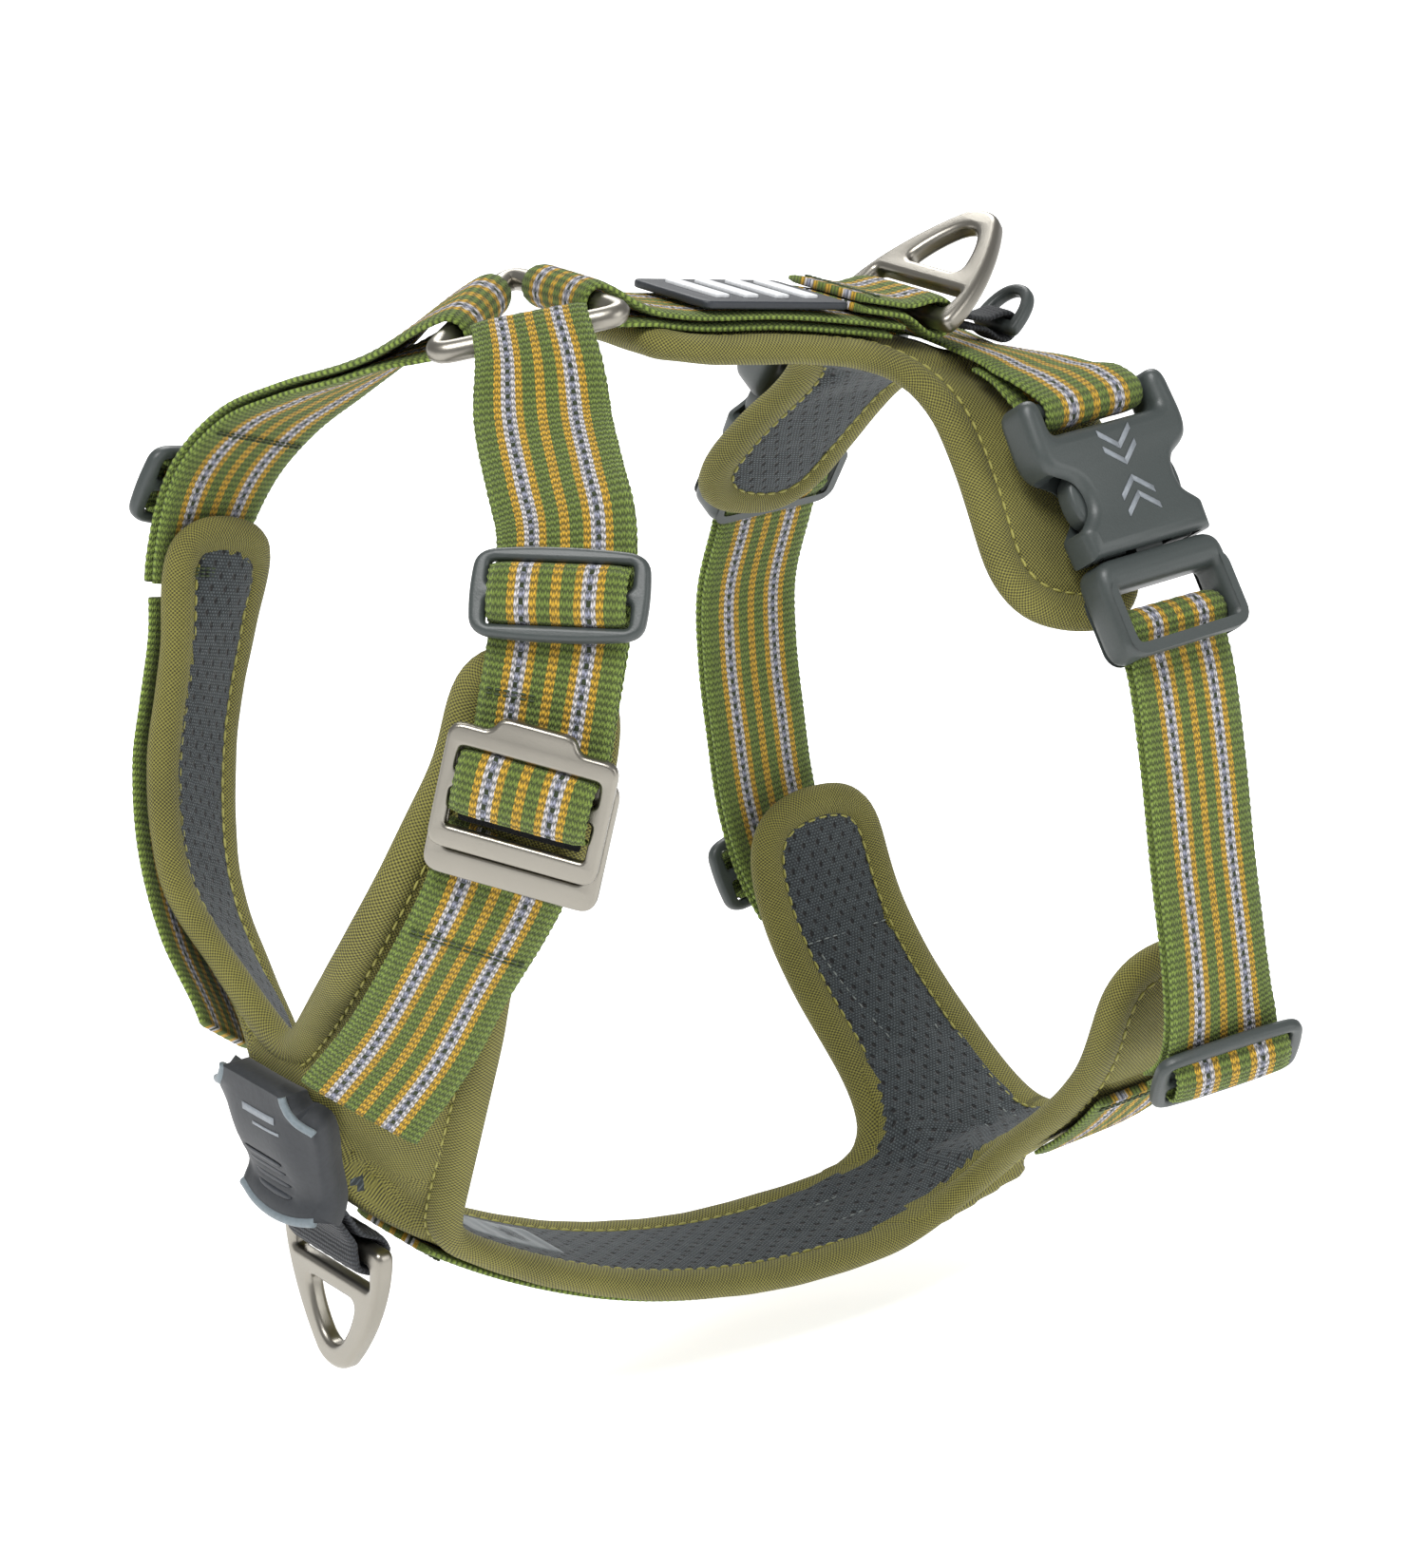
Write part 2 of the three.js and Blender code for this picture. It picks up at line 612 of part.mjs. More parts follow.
// ---- girth: webbing, side-release buckles, straps and adjusters ---------------------
function femaleBody() {
  const shape = new THREE.Shape();
  shape.moveTo(-15.6, 0.4);
  shape.lineTo(15.6, 0.4);
  shape.lineTo(15.8, 6);
  shape.quadraticCurveTo(12.4, 8, 12.4, 11.5);
  shape.quadraticCurveTo(12.4, 16, 17, 18.5);
  shape.quadraticCurveTo(19.6, 20, 19.6, 25);
  shape.lineTo(19.2, 31);
  shape.quadraticCurveTo(19, 34.6, 16.6, 34.6);
  shape.quadraticCurveTo(14.2, 34.6, 14.2, 31);
  shape.lineTo(14.2, 28);
  shape.quadraticCurveTo(14.2, 26.5, 12.6, 26.5);
  shape.lineTo(-12.6, 26.5);
  shape.quadraticCurveTo(-14.2, 26.5, -14.2, 28);
  shape.lineTo(-14.2, 31);
  shape.quadraticCurveTo(-14.2, 34.6, -16.6, 34.6);
  shape.quadraticCurveTo(-19, 34.6, -19.2, 31);
  shape.lineTo(-19.6, 25);
  shape.quadraticCurveTo(-19.6, 20, -17, 18.5);
  shape.quadraticCurveTo(-12.4, 16, -12.4, 11.5);
  shape.quadraticCurveTo(-12.4, 8, -15.8, 6);
  const shell = plate(shape, BUCKLE_THICK, 1);
  const pocket = box(27.2, 24, 6, 0, 11.4, 0);
  const windows = box(40, 12.6, 6, 0, 13, 0);
  const bar = new THREE.CylinderGeometry(BAR_RADIUS, BAR_RADIUS, 30, 12);
  bar.rotateZ(Math.PI / 2);
  bar.translate(0, 32, 0);
  return join(cut(shell, pocket, windows), bar);
}

function maleBody() {
  const shape = roundedRect(new THREE.Shape(), 33, 20.4, 3, 0, -10.4);
  shape.holes.push(roundedRect(new THREE.Path(), WEB_WIDTH + 1, 11, 1.2, 0, -12.2));
  const passage = box(WEB_WIDTH + 1, 6, 6.7, 0, -19.6, -1);
  const frame = cut(plate(shape, BUCKLE_THICK - 2, 1), passage);
  const bar = new THREE.CylinderGeometry(BAR_RADIUS, BAR_RADIUS, 30, 12);
  bar.rotateZ(Math.PI / 2);
  bar.translate(0, -14.5, MALE_BAR_DROP);
  const tongue = box(7, 20, 4, 0, 9, 0);
  return join(frame, bar, tongue);
}

// A springy side prong: its root sits beside the tongue, its button in the window.
function prong(side) {
  const shape = new THREE.Shape();
  shape.moveTo(side * 6, 0.3);
  shape.lineTo(side * 12, 0.3);
  shape.lineTo(side * 12.2, 8);
  shape.quadraticCurveTo(side * 14.2, 9.4, side * 14.2, 13);
  shape.quadraticCurveTo(side * 14.2, 16.4, side * 11.4, 18.6);
  shape.lineTo(side * 8.6, 20.4);
  shape.lineTo(side * 8.2, 16);
  shape.lineTo(side * 8.2, 6);
  shape.lineTo(side * 6, 4.5);
  return plate(shape, 5, 0.5);
}

function triGlide() {
  const shape = roundedRect(new THREE.Shape(), GLIDE_WIDTH, GLIDE_LENGTH, 3.2);
  for (const y of [-4.15, 4.15]) {
    shape.holes.push(roundedRect(new THREE.Path(), WEB_WIDTH + 1.2, 4.7, 0.8, 0, y));
  }
  return plate(shape, GLIDE_THICK, 0.7);
}

// The hump of webbing over a centre bar, between two slots.
function hump(reach, rise, width = WEB_WIDTH) {
  const curve = new THREE.CatmullRomCurve3([
    [-reach, -0.6], [-reach + 0.4, rise * 0.45], [-reach * 0.55, rise * 0.93],
    [0, rise], [reach * 0.55, rise * 0.93], [reach - 0.4, rise * 0.45], [reach, -0.6],
  ].map(([y, z]) => new THREE.Vector3(0, y, z)));
  const sections = [];
  for (let i = 0; i <= 12; i += 1) {
    const p = curve.getPoint(i / 12);
    const t = curve.getTangent(i / 12);
    const n = new THREE.Vector3(0, -t.z, t.y).multiplyScalar(WEB_THICK / 2);
    const side = new THREE.Vector3(width / 2, 0, 0);
    sections.push([
      p.clone().sub(side).sub(n), p.clone().add(side).sub(n),
      p.clone().add(side).add(n), p.clone().sub(side).add(n),
    ]);
  }
  return skin(sections);
}

// Seats a piece on a route at u, its Y pointing back up the route.
function seatOn(route, u, lift) {
  const frame = framesAlong(route, { steps: 1, from: u, to: u + 0.001, lift })[0];
  return seat(frame.point.toArray(), frame.tangent.clone().negate().toArray(), frame.out.toArray());
}

const GLIDE_LIFT = LAYER / 2 + WEB_THICK / 2 + GAP + GLIDE_THICK / 2;
for (const [name, side] of SIDES) {
  const strap = side > 0 ? GIRTH_LEFT : GIRTH_RIGHT;
  const buckle = seat(mirrored(side, BUCKLE_SPLIT), mirrored(side, BUCKLE_UP), mirrored(side, BUCKLE_OUT));
  add(`girth_webbing_${name}`, loopedBand(sideRoute(side, GIRTH_TOP), {
    steps: 14, to: 0.99, loop: BUCKLE_LOOP_RADIUS, innerTo: 0.5,
  }), GREEN);
  add(`buckle_female_${name}`, femaleBody(), SLATE, buckle);
  add(`buckle_male_${name}`, maleBody(), SLATE, buckle);
  add(`buckle_prong_front_${name}`, prong(-side), SLATE, buckle);
  add(`buckle_prong_rear_${name}`, prong(side), SLATE, buckle);
  add(`girth_strap_${name}`, loopedBand(strap, { steps: 24, loop: BUCKLE_LOOP_RADIUS, settle: 6, to: 0.97 }), GREEN);
  const glide = seatOn(strap, 0.865, GLIDE_LIFT + 0.5);
  add(`girth_adjuster_${name}`, triGlide(), SLATE, glide);
  add(`girth_adjuster_webbing_${name}`, hump(5, 3.2), GREEN, glide);
  add(`girth_anchor_${name}`, band(sideRoute(side, BELLY_ARM), {
    steps: 10, from: 0.34, to: 0.62, lift: ON_PAD + 0.2,
  }), GREEN);
}

// ---- chest: webbing, patch, front leash ring and size label ------------------------------
add('belly_webbing', band(BELLY, { steps: 20, from: 0.24, to: 0.86, lift: ON_PAD }), GREEN);
add('chest_patch', taperedBand(BELLY, {
  steps: 12, from: 0.012, to: 0.13, lift: (u) => 8.6 + 0.6 * THREE.MathUtils.smoothstep(u, 0.03, 0.1),
  thick: PATCH_THICK, widths: [36, 27, 26, 27],
}), CHARCOAL);
add('front_ring_loop', loopedBand(CHEST_LOOP, { steps: 8, loop: RING_LOOP_RADIUS, settle: 6 }), BLACK);
const frontRingSeat = seat(CHEST_LOOP[0].slice(0, 3), [0, -0.02, -1], [0, -1, 0.02]);
add('front_leash_ring', leashRing(), NICKEL, frontRingSeat);
add('size_label', band(BELLY, {
  steps: 4, from: 0.3, to: 0.42, width: 15, thick: 0.6, lift: -PAD_THICK / 2 - GAP - 0.3,
}), LABEL);

// ---- neck straps, adjusters and the left quick-release buckle ---------------------------
const ringLoop = { loop: ROLL_RADIUS, settle: 22, loopWidth: 22 };
add('neck_strap_left', loopedBand(NECK_LEFT, { ...ringLoop, steps: 30, to: 0.5 }), GREEN);
add('neck_strap_right', loopedBand(NECK_RIGHT, { ...ringLoop, steps: 28, to: 0.46 }), GREEN);
for (const [name, side] of SIDES) {
  const glide = seatOn(neckRoute(side), side > 0 ? 0.335 : 0.37, GLIDE_LIFT);
  add(`neck_adjuster_${name}`, triGlide(), SLATE, glide);
  add(`neck_adjuster_webbing_${name}`, hump(5, 3.2), GREEN, glide);
  const from = side > 0 ? 0.575 : 0.475;
  add(`neck_webbing_${name}`, band(neckRoute(side), { steps: 20, from, to: 0.93 }), GREEN);
}

function backPlate() {
  const shape = roundedRect(new THREE.Shape(), 33, 25, 3.5);
  shape.holes.push(roundedRect(new THREE.Path(), WEB_WIDTH + 1.2, 15, 1.5, 0, 0));
  const geometry = plate(shape, 2.2, 0.6);
  geometry.translate(0, -BACK_PLATE_DROP, -BACK_PLATE_BEHIND);
  return geometry;
}

function frontPlate() {
  const shape = new THREE.Shape();
  shape.moveTo(-16, -10);
  shape.quadraticCurveTo(-16, -13, -13, -13);
  shape.lineTo(13, -13);
  shape.quadraticCurveTo(16, -13, 16, -10);
  shape.lineTo(16, 7.5);
  shape.quadraticCurveTo(16, 10.5, 13, 10.5);
  shape.lineTo(8.4, 10.5);
  shape.quadraticCurveTo(7.4, 13.4, 4.6, 13.4);
  shape.lineTo(-4.6, 13.4);
  shape.quadraticCurveTo(-7.4, 13.4, -8.4, 10.5);
  shape.lineTo(-13, 10.5);
  shape.quadraticCurveTo(-16, 10.5, -16, 7.5);
  shape.holes.push(roundedRect(new THREE.Path(), WEB_WIDTH + 1, 4.6, 1, 0, 4.1));
  shape.holes.push(roundedRect(new THREE.Path(), WEB_WIDTH + 1, 7.4, 1, 0, -5.1));
  return plate(shape, 2.4, 0.7);
}

const frontPlateSeat = seatOn(NECK_LEFT, 0.51, 7.6);
add('neck_buckle_front_plate', frontPlate(), NICKEL, frontPlateSeat);
add('neck_buckle_back_plate', backPlate(), NICKEL, frontPlateSeat);
add('neck_buckle_webbing', hump(5.4, 3), GREEN, frontPlateSeat);

export default harness;
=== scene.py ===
"""Looks of the dog harness: striped webbing, piped pads, moulded buckles and satin rings.

Lengths in this script are millimetres until a mesh is made, and +X is the dog's left.
"""
import math

import bmesh
import bpy
import numpy as np
from mathutils import Matrix, Vector
from mathutils.bvhtree import BVHTree
from mathutils.kdtree import KDTree


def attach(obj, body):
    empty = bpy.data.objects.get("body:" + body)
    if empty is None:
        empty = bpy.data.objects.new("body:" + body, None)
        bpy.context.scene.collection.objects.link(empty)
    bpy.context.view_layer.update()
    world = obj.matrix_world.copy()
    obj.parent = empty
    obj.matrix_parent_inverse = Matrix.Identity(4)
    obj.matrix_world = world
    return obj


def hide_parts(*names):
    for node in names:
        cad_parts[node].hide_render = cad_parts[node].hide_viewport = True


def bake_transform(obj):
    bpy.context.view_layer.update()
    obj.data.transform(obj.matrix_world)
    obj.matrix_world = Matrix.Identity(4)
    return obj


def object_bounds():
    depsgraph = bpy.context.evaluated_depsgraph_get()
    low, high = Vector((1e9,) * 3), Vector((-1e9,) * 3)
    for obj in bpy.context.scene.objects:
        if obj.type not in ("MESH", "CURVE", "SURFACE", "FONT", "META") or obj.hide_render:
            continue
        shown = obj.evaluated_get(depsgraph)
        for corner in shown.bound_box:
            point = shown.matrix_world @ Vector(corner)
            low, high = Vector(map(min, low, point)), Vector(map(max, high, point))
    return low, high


MM = 0.001

# ---- camera: the photograph's three-quarter view -------------------------------
camera_data = bpy.data.cameras.new("camera")
camera = bpy.data.objects.new("camera", camera_data)
bpy.context.scene.collection.objects.link(camera)
bpy.context.scene.camera = camera
camera_data.sensor_width = 36
camera_data.lens = 109.09
camera_data.dof.use_dof = False
camera_data.clip_start = 0.05
camera_data.clip_end = 20
CAMERA_AT = (0.7252, -0.5629, 0.2155)
CAMERA_AZIMUTH = math.radians(53)
CAMERA_ELEVATION = math.radians(19)
camera.matrix_world = (
    Matrix.Translation(CAMERA_AT)
    @ Matrix.Rotation(CAMERA_AZIMUTH, 4, "Z")
    @ Matrix.Rotation(math.pi / 2 - CAMERA_ELEVATION, 4, "X")
)

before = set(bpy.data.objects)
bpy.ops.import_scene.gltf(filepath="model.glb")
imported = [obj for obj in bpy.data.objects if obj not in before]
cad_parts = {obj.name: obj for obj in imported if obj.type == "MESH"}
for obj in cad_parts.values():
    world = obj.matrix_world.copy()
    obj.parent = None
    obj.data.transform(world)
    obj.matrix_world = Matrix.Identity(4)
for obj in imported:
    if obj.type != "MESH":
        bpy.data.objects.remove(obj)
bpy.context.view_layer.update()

# ---- sizes ----------------------------------------------------------------------
WEB_WIDTH = 25.4
WEB_THICK = 1.7
LAYER = 2.1
ON_PAD = 3.95
ON_ARM = ON_PAD + 0.2
RIB = 1.4
WIRE_RADIUS = 2.2
BAR_RADIUS = 2.0
ROLL_RADIUS = 3.45
RING_LOOP_RADIUS = 3.65
BUCKLE_LOOP_RADIUS = 3.25
RING_LOOP_WIDTH = 20.5

# ---- routes: x, y, z of the centre line, then the outward direction ----------------
BACK = [
    (0, -50.8, 8.8, 0, 0.1, 0.99),
    (0, -43, 5.8, 0, 0.3, 0.95),
    (0, -30, 2.4, 0, 0.14, 0.99),
    (0, -8, -0.6, 0, 0.16, 0.99),
    (0, 10, -4.2, 0, 0.2, 0.98),
    (0, 24, -7.5, 0, 0.24, 0.97),
    (0, 40, -11.7, 0, 0.28, 0.96),
    (0, 58, -17.4, 0, 0.32, 0.95),
]
BACK_ARM = [
    (0, 43, -20, 0, 0.2, 0.98),
    (14, 42.5, -21.2, 0.2, 0.15, 0.97),
    (27, 40.5, -26.4, 0.5, 0, 0.86),
    (37.5, 37.5, -36.4, 0.76, 0, 0.65),
    (48, 34, -49.5, 0.85, 0, 0.53),
    (54.5, 30.5, -60, 0.88, 0, 0.48),
]
GIRTH_TOP = [
    (39.9, 45.4, -19.1, 0.55, -0.02, 0.83),
    (33, 45.1, -16.4, 0.3, 0, 0.95),
    (24, 45.8, -15.4, 0.12, 0.1, 0.99),
    (12, 46, -15.4, 0.04, 0.2, 0.98),
    (0, 46, -15.6, 0, 0.28, 0.96),
]
GIRTH_LEFT = [
    (64, 47.7, -58.85, 0.86, 0, 0.5),
    (67.9, 48, -68, 0.92, 0, 0.38),
    (72.4, 48, -86, 0.98, 0, 0.2),
    (76, 48, -105, 0.985, 0, 0.17),
    (79, 48.8, -123, 1, 0, 0.03),
    (79.3, 50.5, -136, 0.98, -0.03, -0.2),
    (75.6, 54.2, -147.6, 0.72, -0.1, -0.68),
    (66, 58, -156.5, 0.5, -0.1, -0.86),
]
GIRTH_RIGHT = [
    (-64, 47.7, -58.85, -0.86, 0, 0.5),
    (-68, 48.2, -68, -0.92, 0, 0.38),
    (-73, 48, -84, -1, 0, 0.1),
    (-73.2, 48.5, -100, -1, 0, 0),
    (-71.6, 49.5, -116, -1, 0, -0.06),
    (-70.2, 51.2, -132, -0.99, 0, -0.12),
    (-67.6, 54, -147, -0.95, -0.03, -0.3),
    (-61.5, 57, -159, -0.8, -0.05, -0.6),
]
BELLY_ARM = [
    (0, 57, -193.5, 0, 0.1, -1),
    (14, 57.5, -188.5, 0.25, 0.08, -0.97),
    (29, 57.5, -179, 0.48, 0.06, -0.87),
    (42, 57, -168.5, 0.66, 0.04, -0.75),
    (53, 56.5, -155, 0.86, 0.02, -0.5),
    (58, 56, -141.5, 0.97, 0, -0.22),
    (59.5, 55.5, -129, 1, 0, -0.05),
]
BELLY = [
    (0, -118, -131, 0, -0.98, -0.2),
    (0, -117, -147, 0, -0.88, -0.47),
    (0, -108.5, -159.5, 0, -0.66, -0.75),
    (0, -94, -170.5, 0, -0.5, -0.87),
    (0, -73, -183, 0, -0.38, -0.92),
    (0, -50, -193, 0, -0.28, -0.96),
    (0, -26, -199.5, 0, -0.16, -0.99),
    (0, 0, -202.5, 0, -0.02, -1),
    (0, 28, -200.5, 0, 0.12, -1),
    (0, 58, -193.5, 0, 0.22, -0.98),
]
NECK_LEFT = [
    (10.1, -66.35, 5.2, 0.305, -0.382, 0.865),
    (18.6, -70.8, 0.4, 0.38, -0.36, 0.86),
    (27.8, -76.4, -7, 0.46, -0.4, 0.79),
    (39.3, -81.9, -13.9, 0.52, -0.5, 0.69),
    (48.7, -86.2, -20.4, 0.58, -0.6, 0.55),
    (57, -92.9, -31.5, 0.62, -0.68, 0.39),
    (59.4, -97.9, -47.8, 0.64, -0.74, 0.2),
    (58.6, -101.7, -67, 0.66, -0.74, 0.08),
    (54, -104, -79.4, 0.72, -0.66, -0.1),
    (50.6, -106.5, -89.2, 0.8, -0.52, -0.26),
    (42.5, -109.9, -104.5, 0.82, -0.45, -0.34),
    (34.3, -113.3, -119.6, 0.76, -0.55, -0.33),
    (23.5, -117.8, -135.3, 0.69, -0.67, -0.28),
    (16, -121, -146, 0.62, -0.72, -0.3),
]
NECK_RIGHT = [
    (-10.1, -66.35, 5.2, -0.305, -0.382, 0.865),
    (-18.6, -70.8, 0.4, -0.38, -0.34, 0.86),
    (-28.5, -76.4, -6.5, -0.52, -0.2, 0.83),
    (-40.5, -82, -13.6, -0.66, -0.04, 0.75),
    (-52, -87, -21.5, -0.78, 0.04, 0.62),
    (-60.5, -92.4, -33, -0.85, 0.02, 0.48),
    (-64, -97.4, -49, -0.9, -0.2, 0.26),
    (-63, -101.7, -66, -0.86, -0.42, 0.1),
    (-61, -106, -79.4, -0.84, -0.49, -0.02),
    (-58, -109.5, -90.5, -0.84, -0.5, -0.12),
    (-50, -114, -106, -0.8, -0.55, -0.22),
    (-38.5, -116.8, -121, -0.74, -0.6, -0.28),
    (-24, -118, -135.3, -0.68, -0.67, -0.28),
    (-16, -121, -146, -0.62, -0.72, -0.3),
]
CHEST_LOOP = [
    (0, -108.5, -171.5, 0, -0.9, -0.43),
    (0, -112.4, -166, 0, -0.82, -0.57),
    (0, -115.8, -160.6, 0, -0.8, -0.6),
]
LIGHT_TAB = [
    (0, 56.5, -12.5, 0, 0.1, 0.99),
    (0, 46, -10, 0, 0.28, 0.96),
]
REAR_LOOP = [
    (0, 30.8, -5.2, 0, 0.2, 0.98),
    (0, 22.6, -2.7, 0, 0.24, 0.97),
    (0, 12, 0.1, 0, 0.22, 0.97),
]


def mirror(rows):
    return [(-x, y, z, -a, b, c) for x, y, z, a, b, c in rows]


def unit(v):
    v = np.asarray(v, float)
    return v / np.maximum(np.linalg.norm(v, axis=-1, keepdims=True), 1e-12)


def run_along(points):
    """The length of a line up to each of its points."""
    return np.concatenate([[0], np.cumsum(np.linalg.norm(np.diff(points, axis=0), axis=1))])


def read_at(at, run, values):
    """The values at a line's points, read at lengths along it."""
    return np.column_stack([np.interp(at, run, column) for column in values.T])


def around(count):
    """Evenly spaced angles of one full turn."""
    return np.linspace(0, 2 * math.pi, count + 1)[:-1]


class Spline:
    """A centripetal Catmull-Rom spline through the points."""

    def __init__(self, points):
        p = np.asarray(points, float)
        self.p = np.vstack([2 * p[0] - p[1], p, 2 * p[-1] - p[-2]])
        self.count = len(p)

    def at(self, t):
        x = np.clip(np.asarray(t, float), 0, 1) * (self.count - 1)
        i = np.minimum(x.astype(int), self.count - 2)
        w = (x - i)[:, None]
        p0, p1, p2, p3 = (self.p[i + k] for k in range(4))
        d0, d1, d2 = (
            (((b - a) ** 2).sum(1) ** 0.25)[:, None] for a, b in ((p0, p1), (p1, p2), (p2, p3))
        )
        d1 = np.where(d1 < 1e-4, 1, d1)
        d0 = np.where(d0 < 1e-4, d1, d0)
        d2 = np.where(d2 < 1e-4, d1, d2)
        t1 = ((p1 - p0) / d0 - (p2 - p0) / (d0 + d1) + (p2 - p1) / d1) * d1
        t2 = ((p2 - p1) / d1 - (p3 - p1) / (d1 + d2) + (p3 - p2) / d2) * d1
        c2 = -3 * p1 + 3 * p2 - 2 * t1 - t2
        c3 = 2 * p1 - 2 * p2 + t1 + t2
        return p1 + t1 * w + c2 * w**2 + c3 * w**3


class Route:
    """A centre line with an outward direction, read by its share of the length."""

    def __init__(self, rows):
        rows = np.asarray(rows, float)
        self.centre = Spline(rows[:, :3])
        self.outward = Spline(rows[:, 3:])
        self.table = np.linspace(0, 1, 401)
        self.run = run_along(self.centre.at(self.table))
        self.length = self.run[-1]

    def frames(self, u, lift=0.0):
        """Points, tangents, outward and across directions at the shares u."""
        u = np.atleast_1d(np.asarray(u, float))
        t = np.interp(u * self.length, self.run, self.table)
        centre = self.centre.at(t)
        tangent = unit(self.centre.at(t + 1e-4) - self.centre.at(t - 1e-4))
        out = self.outward.at(t)
        out = unit(out - tangent * (out * tangent).sum(1)[:, None])
        across = np.cross(out, tangent)
        rise = np.asarray(lift(u) if callable(lift) else lift, float)
        point = centre + out * np.broadcast_to(rise, u.shape)[:, None]
        return point, tangent, out, across

    def shares(self, step, start=0.0, end=1.0):
        count = max(2, int(round(self.length * (end - start) / step)) + 1)
        return np.linspace(start, end, count)


def smooth(x, low, high):
    t = np.clip((np.asarray(x, float) - low) / (high - low), 0, 1)
    return t * t * (3 - 2 * t)


def seat(at, along, out):
    """A 4x4 in mm whose X, Y and Z lie along across, along and out."""
    y = unit(along)
    z = np.asarray(out, float)
    z = unit(z - y * (z @ y))
    m = np.eye(4)
    m[:3, 0], m[:3, 1], m[:3, 2], m[:3, 3] = np.cross(y, z), y, z, at
    return m


def seat_on(route, u, lift):
    point, tangent, out, _ = route.frames([u], lift)
    return seat(point[0], -tangent[0], out[0])


# ---- materials --------------------------------------------------------------------
class Nodes:
    """Short calls for building one procedural material."""

    def __init__(self, name):
        self.material = bpy.data.materials.new(name)
        self.material.use_nodes = True
        self.tree = self.material.node_tree
        self.shader = self.tree.nodes["Principled BSDF"]

    def add(self, kind, **values):
        node = self.tree.nodes.new(kind)
        for key, value in values.items():
            setattr(node, key, value)
        return node

    def feed(self, socket, value):
        if isinstance(value, bpy.types.NodeSocket):
            self.tree.links.new(value, socket)
        else:
            socket.default_value = value

    def math(self, operation, *inputs, clamp=False):
        node = self.add("ShaderNodeMath", operation=operation, use_clamp=clamp)
        for socket, value in zip(node.inputs, inputs):
            self.feed(socket, value)
        return node.outputs[0]

    def wave(self, value, period, shift=0.0):
        """A cosine of the value, from 0 to 1."""
        turn = self.math("MULTIPLY_ADD", value, 2 * math.pi / period, shift)
        return self.math("MULTIPLY_ADD", self.math("COSINE", turn), 0.5, 0.5)

    def mix(self, factor, a, b, blend="MIX"):
        node = self.add("ShaderNodeMix", data_type="RGBA", blend_type=blend)
        self.feed(node.inputs[0], factor)
        for socket, value in ((node.inputs[6], a), (node.inputs[7], b)):
            self.feed(socket, value)
        return node.outputs[2]

    def uv(self):
        """The two surface coordinates, in millimetres."""
        split = self.add("ShaderNodeSeparateXYZ")
        self.tree.links.new(self.add("ShaderNodeUVMap", uv_map="UVMap").outputs[0], split.inputs[0])
        return split.outputs[0], split.outputs[1]

    def noise(self, scale, detail=3.0):
        node = self.add("ShaderNodeTexNoise")
        node.inputs["Scale"].default_value = scale
        node.inputs["Detail"].default_value = detail
        source = self.add("ShaderNodeTexCoord").outputs["Object"]
        self.tree.links.new(source, node.inputs["Vector"])
        return node.outputs["Fac"]

    def ramp(self, value, stops, steps=False):
        node = self.add("ShaderNodeValToRGB")
        ramp = node.color_ramp
        ramp.interpolation = "CONSTANT" if steps else "LINEAR"
        while len(ramp.elements) < len(stops):
            ramp.elements.new(0.5)
        for element, (position, colour) in zip(ramp.elements, stops):
            element.position = position
            element.color = (*colour, 1)
        self.feed(node.inputs[0], value)
        return node.outputs[0]

    def bump(self, height, distance, strength=1.0):
        node = self.add("ShaderNodeBump")
        node.inputs["Strength"].default_value = strength
        node.inputs["Distance"].default_value = distance
        self.feed(node.inputs["Height"], height)
        self.tree.links.new(node.outputs[0], self.shader.inputs["Normal"])

    def finish(self, colour, roughness, metallic=0.0, sheen=0.0):
        self.feed(self.shader.inputs["Base Color"], colour)
        self.feed(self.shader.inputs["Roughness"], roughness)
        self.shader.inputs["Metallic"].default_value = metallic
        self.shader.inputs["Sheen Weight"].default_value = sheen
        return self.material


def shade_by(n, colour, value):
    """The colour multiplied by a grey value."""
    grey = n.add("ShaderNodeCombineColor")
    for socket in grey.inputs[:3]:
        n.feed(socket, value)
    return n.mix(1.0, colour, grey.outputs[0], "MULTIPLY")


def srgb(r, g, b):
    """An 8-bit display colour as linear light."""
    return tuple((c / 255 / 12.92) if c <= 10 else ((c / 255 + 0.055) / 1.055) ** 2.4 for c in (r, g, b))


def rgba(*colour):
    return (*srgb(*colour), 1)


GREEN = srgb(106, 124, 50)
GREEN_EDGE = srgb(120, 140, 60)
OCHRE = srgb(200, 158, 44)
PALE = srgb(206, 202, 204)
VIOLET = srgb(146, 148, 166)
# Dark green of the weft, also used as painted shade in the webbing's rib gaps and holes.
WEFT_GREEN_AND_SHADE = srgb(40, 52, 20)


